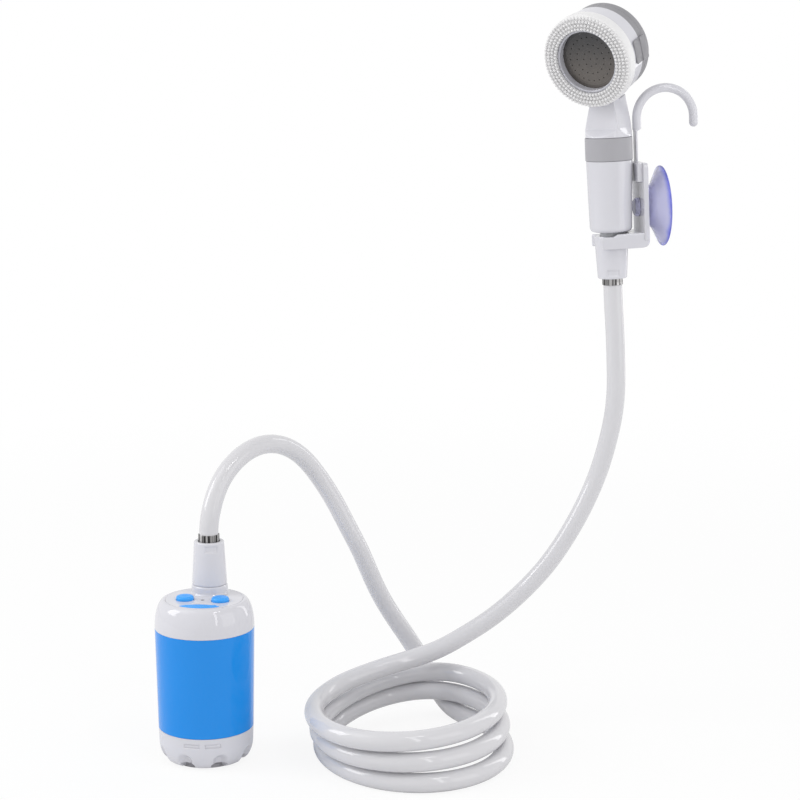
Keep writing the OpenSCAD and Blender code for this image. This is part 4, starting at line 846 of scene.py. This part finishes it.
# finishes by slot: colour, gloss, clear coat, slow tone drift, fine relief; scales count per metre
finishes = {
    "white_gloss": {"colour": (0.655, 0.652, 0.695), "rough": 0.035, "coat": 0.0, "drift": (16, 0.015),
                    "relief": (320, 0.02), "specks": 0.12},
    "blue_gloss": {"colour": (0.008, 0.26, 0.78), "rough": 0.07, "coat": 0.0, "shine": 0.35, "drift": (14, 0.03),
                   "relief": (260, 0.04), "specks": 0.08},
    "blue_silicone": {"colour": (0.03, 0.36, 0.95), "rough": 0.42, "coat": 0.05, "drift": (60, 0.06),
                      "relief": (2600, 0.06), "specks": 0},
    "grey_plastic": {"colour": (0.39, 0.385, 0.41), "rough": 0.42, "coat": 0.0, "shine": 0.3, "drift": (25, 0.03),
                     "relief": (1400, 0.08), "specks": 0.08},
    # a darker copy of the grey plastic: painted shade for the selector ring and back cap on the head's shaded side
    "grey_plastic_shaded": {"colour": (0.28, 0.276, 0.293), "rough": 0.45, "coat": 0.0, "shine": 0.25, "drift": (25, 0.03),
                  "relief": (1400, 0.08), "specks": 0.05},
    "inner_plastic": {"colour": (0.55, 0.56, 0.58), "rough": 0.45, "coat": 0, "drift": (30, 0.06),
                      "relief": (1500, 0.08), "specks": 0.2},
    "black_plastic": {"colour": (0.022, 0.022, 0.024), "rough": 0.4, "coat": 0.05, "drift": (40, 0.2),
                      "relief": (1800, 0.1), "specks": 0},
    "hose_pvc": {"colour": (0.65, 0.645, 0.668), "rough": 0.08, "coat": 0.1, "drift": (12, 0.02),
                 "relief": (140, 0.03), "specks": 0.06},
    "white_silicone": {"colour": (0.775, 0.77, 0.775), "rough": 0.42, "coat": 0.05, "drift": (50, 0.02),
                       "relief": (1800, 0.1), "specks": 0},
    "rubber_seal": {"colour": (0.36, 0.36, 0.375), "rough": 0.6, "coat": 0, "drift": (80, 0.25),
                    "relief": (3000, 0.15), "specks": 0},
    "cell_wrap": {"colour": (0.06, 0.32, 0.36), "rough": 0.28, "coat": 0.3, "drift": (30, 0.08),
                  "relief": (500, 0.06), "specks": 0},
    "lead_red": {"colour": (0.55, 0.03, 0.03), "rough": 0.4, "coat": 0.1, "drift": (90, 0.1),
                 "relief": (900, 0.05), "specks": 0},
    "smoked_lens": {"colour": (0.20, 0.20, 0.21), "rough": 0.15, "coat": 0.3, "drift": (200, 0.1),
                    "relief": (900, 0.02), "specks": 0},
    "filter_media": {"colour": (0.60, 0.60, 0.56), "rough": 0.85, "coat": 0, "drift": (250, 0.25),
                     "relief": (1600, 0.5), "specks": 0},
    "clear_bezel": {"colour": (0.66, 0.66, 0.715), "rough": 0.08, "coat": 0.0, "drift": (50, 0.02),
                    "relief": (300, 0.02), "specks": 0, "clear": 0.25},
}
# what all moulded finishes share; gloss: how much the drift and the relief change the roughness
mould = {"detail": (4.0, 3.0), "cloudRough": 0.55, "gloss": (0.5, 0.3), "speckScale": 70.0, "speckSize": (0.012, 0.03),
         "speckTone": (0.16, 0.15, 0.16), "bump": 0.0002, "coatRough": 0.08, "shine": 0.5, "clear": 0.0}
# metals and wound parts: colour, gloss, streaks (count across, count along, depth)
metals = {
    "steel": {"colour": (0.55, 0.56, 0.57), "rough": 0.28, "streaks": (900, 30, 0.2), "metal": 1},
    "copper": {"colour": (0.70, 0.33, 0.18), "rough": 0.35, "streaks": (1600, 1600, 0.3), "metal": 1},
    "magnet": {"colour": (0.12, 0.12, 0.125), "rough": 0.4, "streaks": (400, 400, 0.2), "metal": 0.8},
    # dark chrome: its deep light and dark streaks are painted reflections on the knurled ferrules
    "dark_chrome": {"colour": (0.27, 0.265, 0.265), "rough": 0.2, "streaks": (520, 6, 0.92), "metal": 1},
    "board_green": {"colour": (0.02, 0.16, 0.06), "rough": 0.35, "streaks": (500, 60, 0.3), "metal": 0},
}
# what all metals share; dull: roughness added in the grooves
grain = {"detail": 4.0, "edge": (0.4, 0.62), "bump": (0.08, 0.001), "dull": 0.15}
# spray plate and suction cup: noise as (scale, weight), bump as (strength, distance), rough as (least, added)
sprayFace = {"dark": (0.055, 0.055, 0.058), "warm": (0.135, 0.122, 0.112), "fade": (0.012, -0.026),
             "cloud": (160.0, 0.3), "cloudDetail": 5.0, "groove": 2400.0, "grooveDetail": 3.0, "bump": (0.03, 0.001),
             "rough": (0.2, 0.16), "metal": 0.5}
# cup vinyl: its lavender blue is its own; the deep blue towards the rim is painted shade for the longer path of light
# through the edge
cupVinyl = {"pale": (0.66, 0.66, 0.87), "deep": (0.24, 0.27, 0.88), "rim": (0.0255, 0.0305), "cloud": (70.0, 0.006),
            "cloudDetail": 4.0, "bump": (0.05, 0.002), "rough": (0.16, 0.12), "clear": 0.6, "ior": 1.4}


# a colour times a share, no brighter than full
def lit(colour, share):
    return tuple(min(1.0, c * share) for c in colour)


# a new material, a wire to build its nodes from, and its shader
def newFinish(name):
    material = bpy.data.materials.new(name)
    material.use_nodes = True
    tree = material.node_tree
    return material, Wire(tree, None), tree.nodes["Principled BSDF"]


def joinShader(root, shader, sockets):
    for key, value in sockets.items():
        feed(root.tree, shader.inputs[key], value)


def noise(root, place, scale, detail, rough=0.5):
    return root.node("TexNoise", {}, {"Vector": place, "Scale": scale, "Detail": detail, "Roughness": rough})


def blend(root, share, low, high):
    return root.node("Mix", {"data_type": "RGBA"}, {0: share, 6: low, 7: high}, out=2)


def smooth(root, value, low, high, first=0.0, last=1.0):
    return root.node("MapRange", {"interpolation_type": "SMOOTHSTEP"}, {0: value, 1: low, 2: high, 3: first, 4: last})


def relief(root, height, strength, distance):
    return root.node("Bump", {}, {"Strength": strength, "Distance": distance, "Height": height})


# a point's place, its arm from a frame's middle, and its distance from the frame's axis
def fromAxis(root, where):
    place = root.node("TexCoord", out="Object")
    arm = root.node("VectorMath", {"operation": "SUBTRACT"}, {0: place, 1: tuple(where[:3, 3] / 1000)})
    depth = root.node("VectorMath", {"operation": "DOT_PRODUCT"}, {0: arm, 1: tuple(where[:3, 2])}, out=1)
    reach = root.node("VectorMath", {"operation": "LENGTH"}, {0: arm}, out=1)
    return place, arm, root.maths("SQRT", reach * reach - depth * depth)


# moulded: colour that drifts slowly, small dull specks, gloss that varies and a fine skin
def moulded(name, f, m=mould):
    material, root, shader = newFinish(name)
    place = root.node("TexCoord", out="Object")
    (scale, drift), (fineScale, fineDepth) = f["drift"], f["relief"]
    cloudDetail, fineDetail = m["detail"]
    cloud = noise(root, place, scale, cloudDetail, m["cloudRough"])
    fine = noise(root, place, fineScale, fineDetail)
    colour = blend(root, cloud, lit(f["colour"], 1 - drift), lit(f["colour"], 1 + drift))
    slow, quick = m["gloss"]
    rough = f["rough"] * (1 + (cloud - 0.5) * slow + (fine - 0.5) * quick)
    if f["specks"]:
        spot = root.node("TexVoronoi", {}, {"Vector": place, "Scale": m["speckScale"]})
        speck = smooth(root, spot, *m["speckSize"], f["specks"], 0.0)
        colour = blend(root, speck, colour, m["speckTone"])
        rough = rough + speck
    joinShader(root, shader, {
        "Base Color": colour, "Roughness": rough, "Coat Weight": f["coat"], "Coat Roughness": m["coatRough"],
        "Specular IOR Level": f.get("shine", m["shine"]), "Normal": relief(root, fine, fineDepth, m["bump"]),
        "Transmission Weight": f.get("clear", m["clear"])})
    return material


# metal: streaks along the upright, darker in the grooves; on the dark chrome the deep light and dark streaks are
# painted reflections
def metallic(name, f, g=grain):
    material, root, shader = newFinish(name)
    across, along, depth = f["streaks"]
    place = root.node("TexCoord", out="Object")
    place = root.node("Mapping", {}, {"Vector": place, "Scale": (across, across, along)})
    streak = noise(root, place, 1.0, g["detail"])
    low, high = g["edge"]
    edge = root.node("MapRange", {}, {0: streak, 1: low, 2: high, 3: 0.0, 4: 1.0})
    colour = blend(root, edge, lit(f["colour"], 1 - depth), lit(f["colour"], 1 + depth))
    joinShader(root, shader, {
        "Base Color": colour, "Roughness": f["rough"] + (1 - edge) * g["dull"], "Metallic": f["metal"],
        "Normal": relief(root, streak, *g["bump"])})
    return material


# spray plate: a dull dark metal face, warmer and lighter towards its foot, with fine turned rings
def sprayMetal(name, f):
    material, root, shader = newFinish(name)
    place, arm, ring = fromAxis(root, headFrame)
    height = root.node("SeparateXYZ", {}, {0: arm}, out=2)
    scale, weight = f["cloud"]
    cloud = noise(root, place, scale, f["cloudDetail"])
    colour = blend(root, smooth(root, height, *f["fade"]) + (cloud - 0.5) * weight, f["dark"], f["warm"])
    groove = root.node("TexNoise", {"noise_dimensions": "1D"},
                       {"W": ring, "Scale": f["groove"], "Detail": f["grooveDetail"]})
    least, added = f["rough"]
    joinShader(root, shader, {
        "Base Color": colour, "Roughness": least + groove * added, "Metallic": f["metal"],
        "Normal": relief(root, groove, *f["bump"])})
    return material


# cup: tinted clear vinyl, paler at the hub and deep blue at the rim; the deeper blue towards the rim is painted shade
# for the longer path of light through the vinyl at its edge
def vinylTintAndPaintedDepth(name, f):
    material, root, shader = newFinish(name)
    place, _, ring = fromAxis(root, cupFrame)
    scale, weight = f["cloud"]
    cloud = noise(root, place, scale, f["cloudDetail"])
    colour = blend(root, smooth(root, ring + (cloud - 0.5) * weight, *f["rim"]), f["pale"], f["deep"])
    least, added = f["rough"]
    joinShader(root, shader, {
        "Base Color": colour, "Roughness": least + cloud * added, "Normal": relief(root, cloud, *f["bump"]),
        "Transmission Weight": f["clear"], "IOR": f["ior"]})
    return material


# every CAD node and every piece gets its finish
def dressAll():
    made = {name: moulded(name, f) for name, f in finishes.items()}
    made.update({name: metallic(name, f) for name, f in metals.items()})
    made["spray_face"] = sprayMetal("spray_face", sprayFace)
    made["cup_vinyl"] = vinylTintAndPaintedDepth("cup_vinyl", cupVinyl)
    nodes = [(thing, finishOf.get(node, slotOf[node])) for node, thing in frame["nodes"].items()]
    for thing, finish in nodes + dressed:
        thing.data.materials.clear()
        thing.data.materials.append(made[finish])


dressAll()
print("finishes laid on")

# floor, backdrop and lights
studio = {"floor": 8, "middle": (0.15, 0.05, 0), "fade": (0.5, 1.4), "glow": 0.88, "sky": 0.66,
          "white": (1.0, 1.0, 1.0), "paper": (0.9, 0.9, 0.9), "dark": (0.0, 0.0, 0.0)}
softboxes = [
    {"name": "keyBox", "at": (-1.72, -0.14, 1.15), "to": (0.05, 0, 0.3), "size": (0.9, 1.1), "power": 14},
    {"name": "frontStrip", "at": (1.3, -1.95, 1.2), "to": (0.1, 0, 0.25), "size": (0.22, 2.0), "power": 5},
    {"name": "fillBox", "at": (2.3, -1.1, 0.8), "to": (0.15, 0, 0.25), "size": (1.6, 1.6), "power": 8.5},
    {"name": "backStrip", "at": (1.6, 1.05, 0.7), "to": (0.1, 0, 0.2), "size": (0.3, 1.6), "power": 3.5},
    {"name": "topBox", "at": (-0.95, -0.3, 1.6), "to": (0, 0, 0.12), "size": (1.2, 1.0), "power": 4},
    {"name": "hoseBox", "at": (0.9, -0.85, 1.9), "to": (0.15, 0, 0.05), "size": (0.7, 0.25), "power": 3.6},
]


# a cleared tree of a world or a material, and a wire to build its nodes from
def clearTree(owner):
    owner.use_nodes = True
    owner.node_tree.nodes.clear()
    return Wire(owner.node_tree, None)


# sky: full where the camera sees it, also in gloss or through clear parts, and weaker as a light
def makeSky(studio):
    scene = bpy.context.scene
    scene.view_settings.view_transform = "Standard"
    scene.world = bpy.data.worlds.new("studio")
    root = clearTree(scene.world)
    seen = root.node("LightPath", out="Is Camera Ray")
    for name in ("Is Glossy Ray", "Is Transmission Ray"):
        seen = root.maths("MAXIMUM", seen, root.node("LightPath", out=name))
    strength = seen * (1 - studio["sky"]) + studio["sky"]
    sky = root.node("Background", {}, {"Color": studio["white"], "Strength": strength})
    root.node("OutputWorld", {}, {"Surface": sky})


def makeLamps(softboxes):
    for box in softboxes:
        data = bpy.data.lights.new(box["name"], "AREA")
        data.shape, data.size, data.size_y = "RECTANGLE", *box["size"]
        data.energy = box["power"]
        lamp = bpy.data.objects.new(box["name"], data)
        bpy.context.scene.collection.objects.link(lamp)
        lamp.location = box["at"]
        lamp.rotation_euler = (Vector(box["to"]) - Vector(box["at"])).to_track_quat("-Z", "Y").to_euler()


# floor: paper that takes shadows near the middle and fades into the white of the sky
def makeFloor(studio):
    half = studio["floor"] / 2
    corners = [[(-half, -half, 0), (-half, half, 0)], [(half, -half, 0), (half, half, 0)]]
    floor = makeSurface("floor", np.array(corners, float))
    paper = bpy.data.materials.new("paper")
    root = clearTree(paper)
    place = root.node("TexCoord", out="Object")
    arm = root.node("VectorMath", {"operation": "SUBTRACT"}, {0: place, 1: studio["middle"]})
    far = root.node("VectorMath", {"operation": "LENGTH"}, {0: arm}, out=1)
    fade = smooth(root, far, *studio["fade"])
    seen = root.node("LightPath", out="Is Camera Ray")
    glow = (fade * (1 - studio["glow"]) + studio["glow"]) * seen
    light = root.node("Emission", {}, {"Color": glow, "Strength": 1.0})
    matt = root.node("BsdfDiffuse", {}, {"Color": studio["paper"]})
    dark = root.node("BsdfDiffuse", {}, {"Color": studio["dark"]})
    part = root.node("MixShader", {}, {0: 1 - glow, 1: dark, 2: matt})
    both = root.node("AddShader", {}, {0: light, 1: part})
    root.node("OutputMaterial", {}, {"Surface": both})
    floor.data.materials.append(paper)


makeSky(studio)
makeLamps(softboxes)
makeFloor(studio)
print("studio lit")
